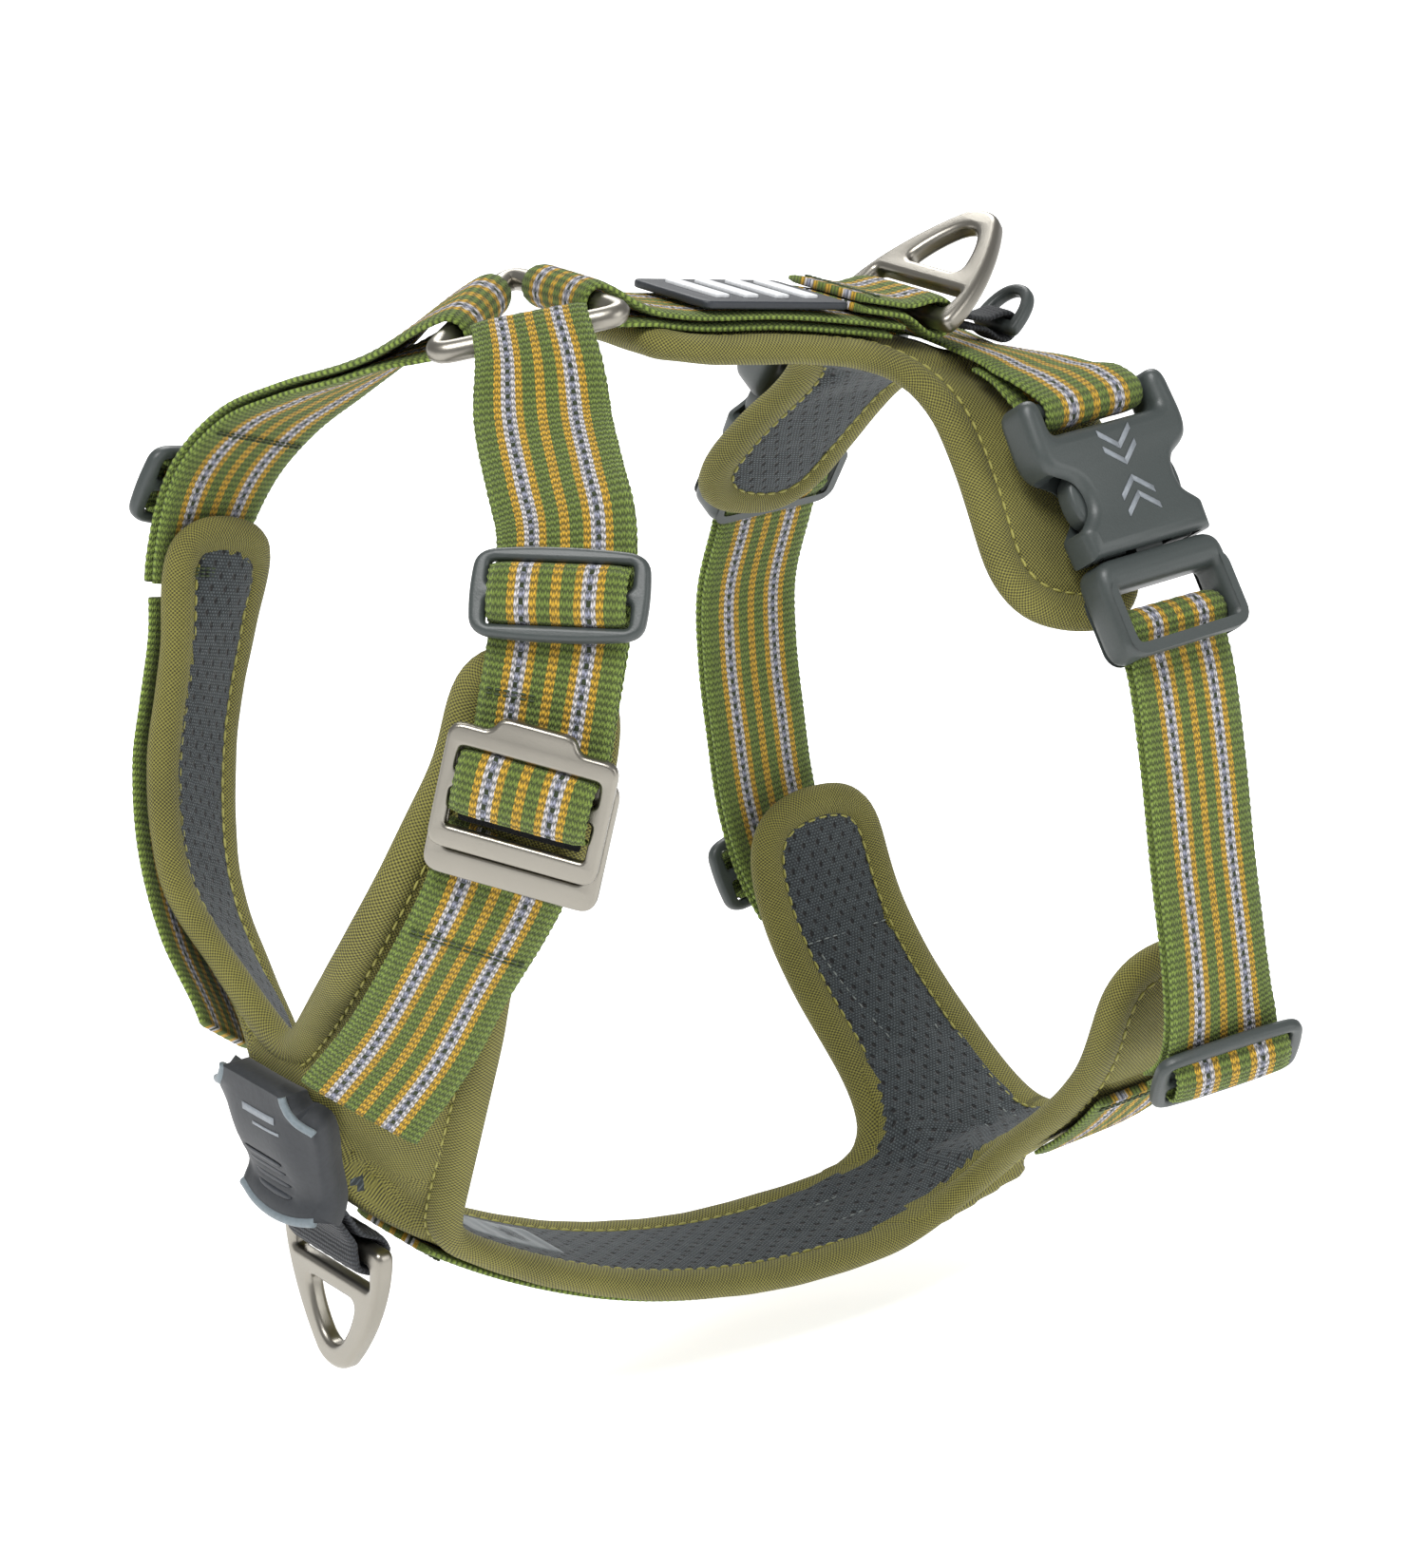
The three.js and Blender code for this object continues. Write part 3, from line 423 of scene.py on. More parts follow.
def webbing_material():
    """Woven stripes: u runs across the webbing and v along it, both in millimetres."""
    n = Nodes("striped_webbing")
    u, v = n.uv()
    strand = 0.5
    column = n.math("PINGPONG", n.math("FLOOR", n.math("DIVIDE", u, strand)), 1.0)
    scallop = n.math("MULTIPLY", n.math("SUBTRACT", n.wave(u, strand), 0.5), 0.35)
    along = n.math("ADD", n.math("ADD", v, scallop), n.math("MULTIPLY", column, 0.28))
    rib = n.math("POWER", n.wave(along, RIB), 0.6)
    thread = n.wave(u, strand, math.pi)
    height = n.math("MULTIPLY", rib, n.math("MULTIPLY_ADD", thread, 0.4, 0.6))
    share = n.math("ADD", n.math("DIVIDE", u, WEB_WIDTH), 0.5, clamp=True)
    near = n.math("MULTIPLY_ADD", n.math("ABSOLUTE", n.math("SUBTRACT", share, 0.5)), -1.0, 0.5)
    colour = n.ramp(near, [
        (0.0, GREEN_EDGE), (0.045, GREEN), (0.15, OCHRE), (0.205, PALE), (0.238, VIOLET),
        (0.278, PALE), (0.312, OCHRE), (0.365, GREEN), (0.463, OCHRE),
    ], steps=True)
    # Dark holes every two ribs down the pale middle column: painted shade in the holes.
    middle = n.math("LESS_THAN", n.math("ABSOLUTE", n.math("SUBTRACT", near, 0.258)), 0.016)
    hole_shade = n.math("MULTIPLY", middle, n.math("GREATER_THAN", n.wave(v, RIB * 2), 0.72))
    colour = n.mix(hole_shade, colour, (*WEFT_GREEN_AND_SHADE, 1))
    # Towards the rib gaps the colour goes to dark green: partly the weft showing, partly painted shade.
    colour = n.mix(n.math("MULTIPLY_ADD", height, -0.85, 0.7, clamp=True), colour, (*WEFT_GREEN_AND_SHADE, 1))
    # Brighter on the rib tops and darker in the gaps, with a random speck: painted light and shade on the
    # ribs.
    speck = n.math("MULTIPLY_ADD", n.noise(900.0, 2.0), 0.6, 0.68)
    rib_shade_and_speck = n.math("MULTIPLY", n.math("MULTIPLY_ADD", height, 0.5, 0.66), speck)
    n.bump(height, 0.00045, 0.9)
    return n.finish(shade_by(n, colour, rib_shade_and_speck), 0.85, sheen=0.05)


def fabric_material(name, low, high, period, roughness=0.8):
    """A plain weave of two thread colours."""
    n = Nodes(name)
    u, v = n.uv()
    a = n.math("SUBTRACT", n.wave(u, period), 0.5)
    b = n.math("SUBTRACT", n.wave(v, period), 0.5)
    check = n.math("MULTIPLY_ADD", n.math("MULTIPLY", a, b), 2.0, 0.5)
    patchy = n.math("MULTIPLY_ADD", n.noise(60.0, 4.0), 0.3, -0.15)
    colour = n.ramp(n.math("ADD", check, patchy), [(0.2, low), (0.8, high)])
    n.bump(check, 0.00022, 0.9)
    return n.finish(colour, roughness, sheen=0.05)


def mesh_lining_material():
    """Dark knitted lining with staggered open holes."""
    n = Nodes("mesh_lining")
    u, v = n.uv()
    pitch, row_pitch = 3.7, 2.5
    row = n.math("FLOOR", n.math("DIVIDE", v, row_pitch))
    shifted = n.math("ADD", u, n.math("MULTIPLY", n.math("PINGPONG", row, 1.0), pitch / 2))
    x = n.math("SUBTRACT", n.math("WRAP", shifted, pitch, 0.0), pitch / 2)
    y = n.math("SUBTRACT", n.math("WRAP", v, row_pitch, 0.0), row_pitch / 2)
    flat_y = n.math("POWER", n.math("DIVIDE", y, 1.5), 2.0)
    far = n.math("SQRT", n.math("ADD", n.math("POWER", x, 2.0), flat_y))
    open_hole = n.math("SUBTRACT", 1.0, n.math("MULTIPLY", n.math("SUBTRACT", far, 0.32), 4.0, clamp=True))
    sway = n.math("ADD", u, n.math("MULTIPLY", n.wave(v, 1.3), 0.5))
    knit = n.math("MULTIPLY", n.wave(sway, 0.8), n.wave(v, 0.65))
    cloth = n.ramp(n.math("ADD", knit, n.math("MULTIPLY_ADD", n.noise(500.0), 0.8, -0.4)),
                   [(0.1, srgb(36, 42, 45)), (0.85, srgb(84, 92, 95))])
    colour = n.mix(open_hole, cloth, (*srgb(12, 13, 15), 1))
    height = n.math("SUBTRACT", n.math("MULTIPLY", knit, 0.35), open_hole)
    n.bump(height, 0.0007, 0.8)
    return n.finish(colour, 0.85, sheen=0.1)


def plastic_material(name, colour, roughness=0.42):
    """Moulded plastic with a fine spark-eroded grain."""
    n = Nodes(name)
    fine = n.noise(2600.0, 3.0)
    broad = n.noise(35.0, 2.0)
    grain = n.math("ADD", n.math("MULTIPLY", fine, 0.3), n.math("MULTIPLY", broad, 0.25))
    tone = n.math("MULTIPLY_ADD", grain, 0.9, 0.75)
    n.bump(fine, 0.0001, 0.35)
    return n.finish(shade_by(n, (*colour, 1), tone), roughness)


def metal_material(name, colour, roughness=0.34):
    """Satin nickel: fine tumbled grain, a little tarnish in the broad noise."""
    n = Nodes(name)
    fine = n.noise(4200.0, 2.0)
    broad = n.noise(60.0, 3.0)
    tone = n.math("MULTIPLY_ADD", broad, 0.22, 0.88)
    n.bump(fine, 0.00005, 0.3)
    rough = n.math("MULTIPLY_ADD", fine, 0.16, roughness - 0.08)
    return n.finish(shade_by(n, (*colour, 1), tone), rough, metallic=1.0)


def plain_material(name, colour, grain, depth, roughness, sheen=0.0):
    """A matte surface with a noise grain."""
    n = Nodes(name)
    fine = n.noise(grain, 4.0)
    n.bump(fine, depth, 0.5)
    tone = n.math("MULTIPLY_ADD", fine, 0.5, 0.75)
    return n.finish(shade_by(n, (*colour, 1), tone), roughness, sheen=sheen)


def ribbed_material():
    """Black webbing with fine weft ribs."""
    n = Nodes("black_webbing")
    u, v = n.uv()
    rib = n.math("MULTIPLY", n.wave(v, 1.0), n.math("MULTIPLY_ADD", n.wave(u, 0.8), 0.5, 0.5))
    n.bump(rib, 0.0003, 0.8)
    # The colour is darker between the ribs and lighter on them: painted shade.
    return n.finish(shade_by(n, rgba(46, 49, 54), n.math("MULTIPLY_ADD", rib, 0.9, 0.35)), 0.75, sheen=0.05)


WEBBING = webbing_material()
OLIVE = fabric_material("olive_fabric", srgb(52, 49, 20), srgb(138, 133, 60), 0.8)
LINING = mesh_lining_material()
PLASTIC = plastic_material("slate_plastic", srgb(59, 65, 64))
METAL = metal_material("satin_nickel", srgb(146, 142, 133))
RUBBER = plain_material("black_rubber", srgb(38, 42, 48), 1500.0, 0.00008, 0.5)
CHARCOAL = plain_material("charcoal_patch", srgb(42, 45, 49), 900.0, 0.00012, 0.7, 0.1)
PIPING = plain_material("grey_piping", srgb(108, 119, 125), 1200.0, 0.0001, 0.6, 0.1)
MARK = plain_material("pale_mark", srgb(214, 216, 218), 1200.0, 0.00006, 0.5)
PRINT = plain_material("grey_print", srgb(128, 134, 140), 1200.0, 0.00004, 0.5)
THREAD = plain_material("olive_thread", srgb(150, 146, 74), 2400.0, 0.0001, 0.6)
GREY_THREAD = plain_material("grey_thread", srgb(120, 126, 124), 2400.0, 0.0001, 0.6)
GREEN_THREAD = plain_material("green_thread", srgb(50, 62, 34), 2400.0, 0.0001, 0.6)
BLACK_WEB = ribbed_material()
FELT = plain_material("black_felt", srgb(26, 27, 29), 3500.0, 0.0004, 0.95)
LABEL = plain_material("label_satin", srgb(104, 110, 112), 700.0, 0.00008, 0.45)


# ---- meshes -------------------------------------------------------------------------
def mesh_object(name, vertices, faces, materials, uv=None, sharp=None):
    """A smooth-shaded mesh from vertices in mm. uv holds one pair per vertex, in mm."""
    mesh = bpy.data.meshes.new(name)
    mesh.from_pydata((np.asarray(vertices) * MM).tolist(), [], [list(map(int, f)) for f in faces])
    for material in materials:
        mesh.materials.append(material)
    mesh.polygons.foreach_set("use_smooth", [True] * len(mesh.polygons))
    if uv is not None:
        layer = mesh.uv_layers.new(name="UVMap")
        index = np.zeros(len(mesh.loops), int)
        mesh.loops.foreach_get("vertex_index", index)
        layer.data.foreach_set("uv", np.asarray(uv, float)[index].ravel())
    if sharp:
        mesh.set_sharp_from_angle(angle=math.radians(sharp))
    mesh.update()
    piece = bpy.data.objects.new(name, mesh)
    bpy.context.scene.collection.objects.link(piece)
    return piece


def loft_mesh(sections, closed=False):
    """Vertices and faces that join equal rings of points. An open loft is capped."""
    sections = np.asarray(sections, float)
    rings, count = sections.shape[:2]
    faces = []
    for i in range(rings if closed else rings - 1):
        a, b = i * count, (i + 1) % rings * count
        faces += [(a + j, a + (j + 1) % count, b + (j + 1) % count, b + j) for j in range(count)]
    if not closed:
        faces.append(tuple(reversed(range(count))))
        faces.append(tuple(range((rings - 1) * count, rings * count)))
    vertices = sections.reshape(-1, 3)
    a, b, c = (vertices[[f[k] for f in faces]] for k in range(3))
    if (a * np.cross(b, c)).sum() < 0:
        faces = [tuple(reversed(f)) for f in faces]
    return vertices, faces


def loft(name, sections, materials, uv=None, closed=False):
    vertices, faces = loft_mesh(sections, closed)
    flat = None if uv is None else np.asarray(uv, float).reshape(-1, 2)
    return mesh_object(name, vertices, faces, materials, flat)


def merged(name, parts, materials, sharp=None):
    """One object from several (vertices, faces) meshes."""
    vertices, faces, base = [], [], 0
    for points, polygons in parts:
        vertices.append(points)
        faces += [[base + k for k in f] for f in polygons]
        base += len(points)
    return mesh_object(name, np.vstack(vertices), faces, materials, sharp=sharp)


# ---- webbing ---------------------------------------------------------------------------
WEB_PROFILE = np.linspace(-0.5, 0.5, 15)


def web_sections(points, across, out, run, width, thick=WEB_THICK, phase=0.0):
    """Ribbed flat sections and their surface coordinates."""
    width = np.broadcast_to(np.asarray(width, float), run.shape)
    sections, coords = [], []
    for p, a, o, s, w in zip(points, across, out, run, width):
        wave = math.cos(2 * math.pi * (s + phase) / RIB)
        x = WEB_PROFILE * (w + 0.28 * wave)
        edge = 1 - (np.abs(WEB_PROFILE) * 2) ** 10
        h = thick / 2 * (0.42 + 0.58 * edge)
        ripple = 0.07 * np.cos(2 * math.pi * ((s + phase) / RIB + np.arange(15) % 2 * 0.5))
        top = p + np.outer(x, a) + np.outer(h + ripple * edge, o)
        low = p + np.outer(x, a) - np.outer(h + ripple * edge, o)
        sections.append(np.vstack([top, low[::-1]]))
        across_mm = WEB_PROFILE * WEB_WIDTH
        coords.append(np.column_stack([np.concatenate([across_mm, across_mm[::-1]]), np.full(30, s)]))
    return np.array(sections), np.array(coords)


def webbing(name, rows, body, replaces, start=0.0, end=1.0, lift=0.0, material=WEBBING, width=WEB_WIDTH,
            thick=WEB_THICK):
    """A single flat layer of webbing along a route."""
    route = Route(rows)
    u = route.shares(0.8, start, end)
    point, _, out, across = route.frames(u, lift)
    sections, coords = web_sections(point, across, out, u * route.length, width, thick)
    piece = loft(name, sections, [material], coords)
    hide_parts(*replaces)
    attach(piece, body)


def looped_webbing(name, rows, body, replaces, loop, end=1.0, settle=14.0, inner_end=None, loop_width=None,
                   width=WEB_WIDTH, thick=WEB_THICK, material=WEBBING):
    """Webbing doubled round a bar at the route's start, its two layers closing up."""
    route = Route(rows)
    u = route.shares(0.8, 0, end)
    point, tangent, out, across = route.frames(u)
    run = u * route.length
    opened = 1 - smooth(run, 0, settle)
    half = LAYER / 2 + (loop - LAYER / 2) * opened
    wide = width + ((loop_width or width) - width) * opened
    keep = u <= (inner_end or end) + 1e-9
    turns = np.linspace(-math.pi / 2, math.pi / 2, 15)[1:-1]
    round_out = np.outer(np.sin(turns), out[0]) - np.outer(np.cos(turns), tangent[0])
    inner = (point - out * half[:, None])[keep][::-1]
    points = np.vstack([inner, point[0] + round_out * loop, point + out * half[:, None]])
    outs = np.vstack([-out[keep][::-1], round_out, out])
    acrosses = np.vstack([across[keep][::-1], np.repeat(across[:1], len(turns), 0), across])
    widths = np.concatenate([wide[keep][::-1], np.full(len(turns), loop_width or width), wide])
    sections, coords = web_sections(points, acrosses, outs, run_along(points), widths, thick)
    piece = loft(name, sections, [material], coords)
    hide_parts(*replaces)
    if body:
        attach(piece, body)
    return piece


def stitch_mesh(points, tangents, normals, length=2.2, width=0.55, rise=0.35):
    """Small rounded thread loops lying on a surface."""
    parts = []
    angle = around(6)
    for p, t, n in zip(points, tangents, normals):
        side = np.cross(t, n)
        rings = []
        for x, r in ((-0.5, 0.25), (-0.32, 0.85), (0, 1), (0.32, 0.85), (0.5, 0.25)):
            ring = p + t * x * length + np.outer(np.cos(angle) * width / 2 * r, side)
            rings.append(ring + np.outer(np.sin(angle) * rise * r, n))
        parts.append(loft_mesh(rings))
    return parts


def stitch_line(points, normals, pitch=3.0, length=2.2, width=0.55, rise=0.35, closed=False):
    """Evenly spaced stitches along a line of surface points."""
    points, normals = np.asarray(points, float), np.asarray(normals, float)
    if closed:
        points, normals = np.vstack([points, points[:1]]), np.vstack([normals, normals[:1]])
    run = run_along(points)
    count = max(1, int(run[-1] / pitch))
    at = (np.arange(count) + 0.5) * run[-1] / count
    p = read_at(at, run, points)
    n = unit(read_at(at, run, normals))
    t = unit(read_at(at + 0.3, run, points) - read_at(at - 0.3, run, points))
    n = unit(n - t * (n * t).sum(1)[:, None])
    return stitch_mesh(p, t, n, length, width, rise)


# ---- pads ------------------------------------------------------------------------------
def edge_run(route, lift, start, end, half, step=2.5):
    """Points and outward directions along one side of a route; half is signed."""
    u = np.linspace(start, end, max(2, int(abs(end - start) * route.length / step) + 1))
    point, _, out, across = route.frames(u, lift)
    reach = half(u) if callable(half) else half
    return point + across * np.broadcast_to(reach, u.shape)[:, None], out


def round_tip(route, lift, end, half, sign, square=0.75, shift=0.0):
    """The rounded end of a pad arm, from its sign side to the other."""
    angle = np.linspace(math.pi / 2, -math.pi / 2, 17)[1:-1]
    x = np.sign(np.cos(angle)) * np.abs(np.cos(angle)) ** square
    y = np.sign(np.sin(angle)) * np.abs(np.sin(angle)) ** square
    u = end - half / route.length * (1 - x)
    point, _, out, across = route.frames(u, lift)
    return point + across * (sign * half * y + shift)[:, None], out


def closed_loop(parts, step=2.2, rounds=3):
    """One evenly spaced closed line through the parts' points, with its outward directions."""
    points = np.vstack([p for p, _ in parts])
    outs = np.vstack([o for _, o in parts])
    for _ in range(2):
        ring = np.vstack([points, points[:1]])
        ring_out = np.vstack([outs, outs[:1]])
        run = run_along(ring)
        at = np.linspace(0, run[-1], int(run[-1] / step) + 1)[:-1]
        points = read_at(at, run, ring)
        outs = unit(read_at(at, run, ring_out))
        for _ in range(rounds):
            points = 0.5 * points + 0.25 * (np.roll(points, 1, 0) + np.roll(points, -1, 0))
            outs = unit(0.5 * outs + 0.25 * (np.roll(outs, 1, 0) + np.roll(outs, -1, 0)))
    return points, outs


def nearest(points, targets):
    gaps = ((points[:, None, :] - targets[None, :, :]) ** 2).sum(2)
    return gaps.argmin(1), np.sqrt(gaps.min(1))


def loop_frames(points, outs, inward):
    """Tangent, outward and inward directions that are square to each other."""
    tangent = unit(np.roll(points, -1, 0) - np.roll(points, 1, 0))
    inward = inward - tangent * (inward * tangent).sum(1)[:, None]
    outs = outs - tangent * (outs * tangent).sum(1)[:, None]
    outs = unit(outs)
    inward = unit(inward - outs * (inward * outs).sum(1)[:, None])
    for _ in range(4):
        inward = unit(0.5 * inward + 0.25 * (np.roll(inward, 1, 0) + np.roll(inward, -1, 0)))
    return tangent, outs, inward


PAD_HALF = 2.5
BINDING_WIDE = 4.0
BINDING_HALF = 2.9
STITCH_RISE = 2.15
QUILT_WIDTH = 1.7
QUILT_DEPTH = 0.8
ROWS = 8


def fillet(before, after, reach=0.55, count=14):
    """A smooth corner from one edge's end to the next one's start."""
    (p, po), (q, qo) = before, after
    leave, arrive = unit(p[-1] - p[-2]), unit(q[0] - q[1])
    size = np.linalg.norm(q[0] - p[-1]) * reach
    t = np.linspace(0, 1, count)[1:-1, None]
    a, b, c, d = p[-1], p[-1] + leave * size, q[0] + arrive * size, q[0]
    points = (1 - t) ** 3 * a + 3 * t * (1 - t) ** 2 * b + 3 * t * t * (1 - t) * c + t**3 * d
    return points, unit((1 - t) * po[-1] + t * qo[0])


def pad_strips(points, outs, spine, spine_out):
    """Thin sections from the edge in to the spine, and their middle points and normals."""
    index, _ = nearest(points, spine)
    sections, middles, normals = [], [], []
    share = np.linspace(0.0, 1.0, ROWS)
    for p, o, k in zip(points, outs, index):
        target = spine[k] + unit(spine[k] - p) * 1.5
        middle = p + np.outer(share, target - p)
        far = share * np.linalg.norm(target - p)
        half = 1.3 + (PAD_HALF - 1.3) * smooth(far, 1.0, 10.0)
        normal = unit(np.outer(1 - share, o) + np.outer(share, spine_out[k]))
        sections.append(np.vstack([middle + normal * half[:, None], (middle - normal * half[:, None])[::-1]]))
        middles.append(middle)
        normals.append(normal)
    return loft_mesh(sections, closed=True), np.vstack(middles), np.vstack(normals)


def ribbon_solid(route, lift, start, end, half):
    u = route.shares(3.0, start, end)
    point, _, out, across = route.frames(u, lift)
    x = np.linspace(-1, 1, 9)
    sections = []
    for p, o, a in zip(point, out, across):
        middle = p + np.outer(x * half, a)
        sections.append(np.vstack([middle + o * PAD_HALF, (middle - o * PAD_HALF)[::-1]]))
    return loft_mesh(sections)


def find_nearest(points, targets):
    """The nearest target's index for each of many points."""
    tree = KDTree(len(targets))
    for i, t in enumerate(targets):
        tree.insert(t, i)
    tree.balance()
    return np.array([tree.find(p)[1] for p in points])


def evaluated_mesh(piece):
    graph = bpy.context.evaluated_depsgraph_get()
    return bpy.data.meshes.new_from_object(piece.evaluated_get(graph))


def apply_modifiers(piece):
    mesh = evaluated_mesh(piece)
    piece.modifiers.clear()
    old = piece.data
    piece.data = mesh
    bpy.data.meshes.remove(old)


def inflate(piece, rest_gap, cap):
    """Lets the padding swell between its sewn edges: cloth pressure, gravity off."""
    group = piece.vertex_groups.new(name="sewn")
    for i, gap in enumerate(rest_gap):
        weight = float(1 - smooth(gap, 1.0, 5.0))
        if weight > 0:
            group.add([i], weight, "REPLACE")
    rest = np.array([v.co for v in piece.data.vertices])
    cloth = piece.modifiers.new("padding", "CLOTH")
    cloth.settings.quality = 5
    cloth.settings.use_pressure = True
    cloth.settings.uniform_pressure_force = 4.0
    cloth.settings.vertex_group_mass = "sewn"
    cloth.settings.pin_stiffness = 1.0
    cloth.settings.effector_weights.gravity = 0
    scene = bpy.context.scene
    for step in range(1, 21):
        scene.frame_set(step)
    apply_modifiers(piece)
    scene.frame_set(1)
    moved = np.array([v.co for v in piece.data.vertices]) - rest
    size = np.linalg.norm(moved, axis=1, keepdims=True)
    scale = np.minimum(1, cap * MM / np.maximum(size, 1e-12))
    piece.data.vertices.foreach_set("co", (rest + moved * scale).astype(np.float32).ravel())
    piece.data.update()


VOXEL = 1.6
SOFTEN_ROUNDS = 6
SWELL_CAP = 0.9


def build_pad(name, node, loop_parts, spines, quilts):
    """A piped pad: body with olive outside and mesh lining inside, binding and stitches."""
    points, outs = closed_loop(loop_parts)
    spine_parts = []
    for route, lift, start, end, _ in spines:
        u = route.shares(2.0, start, end)
        spine_parts.append((*route.frames(u, lift), u * route.length))
    spine, spine_tangent, spine_out, spine_across, spine_run = (
        np.concatenate(column) for column in zip(*spine_parts)
    )

    index, _ = nearest(points, spine)
    tangent, outs, inward = loop_frames(points, outs, spine[index] - points)
    strips, middles, middle_out = pad_strips(points + inward * 2.0, outs, spine, spine_out)
    middles = np.vstack([middles, spine])
    middle_out = np.vstack([middle_out, spine_out])
    piece = merged(name, [strips] + [ribbon_solid(*s) for s in spines], [OLIVE, LINING])
    remesh = piece.modifiers.new("remesh", "REMESH")
    remesh.mode = "VOXEL"
    remesh.voxel_size = VOXEL * MM
    remesh.use_smooth_shade = True
    soften = piece.modifiers.new("soften", "SMOOTH")
    soften.factor = 0.5
    soften.iterations = SOFTEN_ROUNDS
    apply_modifiers(piece)
    co = np.array([v.co for v in piece.data.vertices]) / MM
    _, gap = nearest(co, points)
    inflate(piece, gap, SWELL_CAP)
    co = np.array([v.co for v in piece.data.vertices]) / MM

    mesh = piece.data
    normals = np.array([v.normal for v in mesh.vertices])
    for line, _ in quilts:
        _, near = nearest(co, line)
        beside = np.sqrt(np.maximum(near**2 - PAD_HALF**2, 0))
        co -= normals * (np.exp(-((beside / QUILT_WIDTH) ** 2)) * QUILT_DEPTH)[:, None]
    mesh.vertices.foreach_set("co", (co * MM).astype(np.float32).ravel())
    centres = np.array([p.center for p in mesh.polygons]) / MM
    face_normals = np.array([p.normal for p in mesh.polygons])
    face_index, _ = nearest(centres, spine)
    side = find_nearest(centres, middles)
    facing = (face_normals * middle_out[side]).sum(1)
    behind = ((centres - middles[side]) * middle_out[side]).sum(1) < 0
    inner = np.where(np.abs(facing) > 0.3, facing < 0, behind)
    inner &= nearest(centres, points)[1] > 2 * BINDING_WIDE - 1.4
    mesh.materials.clear()
    mesh.materials.append(OLIVE)
    mesh.materials.append(LINING)
    mesh.polygons.foreach_set("material_index", inner.astype(np.int32))
    mesh.polygons.foreach_set("use_smooth", [True] * len(mesh.polygons))
    layer = mesh.uv_layers.new(name="UVMap")
    coords = np.zeros((len(mesh.loops), 2), np.float32)
    for polygon, k in zip(mesh.polygons, face_index):
        for loop in polygon.loop_indices:
            d = co[mesh.loops[loop].vertex_index] - spine[k]
            coords[loop] = (d @ spine_across[k], spine_run[k] + d @ spine_tangent[k])
    layer.data.foreach_set("uv", coords.ravel())
    mesh.update()
    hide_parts(node)
    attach(piece, "harness")

    angle = around(16)
    run = run_along(points)
    sections, uv = [], []
    for p, o, w, s in zip(points, outs, inward, run):
        pull = 1 + 0.035 * math.sin(s / 2.9) * math.sin(s / 7.3 + 1)
        centre = p + w * (BINDING_WIDE - 0.2)
        ring = centre + np.outer(np.cos(angle) * BINDING_WIDE, w)
        sections.append(ring + np.outer(np.sin(angle) * BINDING_HALF * pull, o))
        uv.append(np.column_stack([angle * 3.1, np.full(16, s)]))
    binding = loft(name + "_binding", sections, [OLIVE], uv, closed=True)
    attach(binding, "harness")

    inset = points + inward * (2 * BINDING_WIDE - 1.2)
    stitches = []
    for sign in (-1, 1):
        line = inset + outs * sign * STITCH_RISE
        stitches += stitch_line(line, outs * sign, 3.1, 2.2, 0.55, 0.4, closed=True)
    sewn = merged(name + "_stitches", stitches, [THREAD])
    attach(sewn, "harness")
    quilting = []
    for line, out in quilts:
        quilting += stitch_line(line - out * (PAD_HALF - QUILT_DEPTH + 0.15), -out, 2.2, 1.5, 0.4, 0.35)
    if quilting:
        lines = merged(name + "_quilting", quilting, [GREY_THREAD])
        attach(lines, "harness")
    return piece


def side_routes(rows):
    return Route(rows), Route(mirror(rows))


back = Route(BACK)
back_arm_left, back_arm_right = side_routes(BACK_ARM)
belly = Route(BELLY)
belly_arm_left, belly_arm_right = side_routes(BELLY_ARM)
neck_left, neck_right = Route(NECK_LEFT[::-1]), Route(NECK_RIGHT[::-1])


def back_sink(u):
    return 0.7 - ON_PAD - LAYER / 2 - 0.3 - 0.8 * smooth(u, 0.45, 0.7)


def neck_sink(u):
    return -5.0 - 3.4 * (1 - smooth(u, 0.04, 0.24))


def quilt_line(route, start, end, across):
    """A stitched line on a pad, beside a route."""
    u = route.shares(1.5, start, end)
    point, _, out, side = route.frames(u)
    return point + side * np.broadcast_to(across, u.shape)[:, None], out


def cross_line(route, u, half):
    """A stitched line across a pad."""
    point, _, out, side = route.frames([u])
    return point + np.outer(np.linspace(-half, half, 20), side[0]), np.repeat(out, 20, 0)


def turned(parts):
    """The same run of edges in the other direction."""
    return [(p[::-1], o[::-1]) for p, o in reversed(parts)]


def build_back_pad():
    half, arm_half, front = 19.0, 19.0, 0.09
    parts = []
    for side, arm in ((1, back_arm_left), (-1, back_arm_right)):
        shoulder = 1.0 - arm_half / arm.length
        rear = edge_run(arm, 0, 0.04, shoulder, arm_half * side)
        end = round_tip(arm, 0, 1.0, arm_half, side)
        fore = edge_run(arm, 0, shoulder, 0.5, -arm_half * side)
        spine_edge = edge_run(back, back_sink, 0.5, front + 0.1, -half * side)
        corner = edge_run(back, back_sink, front + 0.03, front, -0.86 * half * side)
        group = [rear, end, fore, fillet(fore, spine_edge), spine_edge, corner]
        parts += group if side > 0 else turned(group)
    spines = [
        (back, back_sink, front + 0.12, 0.88, 12.0),
        (back_arm_left, 0, 0.0, 0.72, 12.0),
        (back_arm_right, 0, 0.0, 0.72, 12.0),
    ]
    return build_pad("back_pad_body", "back_pad", parts, spines, [])


def neck_halves(side, u):
    """Outer and V-side half widths of a neck pad, from the chest end."""
    outer = 20 - (7 * smooth(u, 0.12, 0.3) if side > 0 else 3 + 0 * u)
    inner = 20 - (0 * u if side > 0 else 6 * smooth(u, 0.04, 0.16))
    return outer, inner


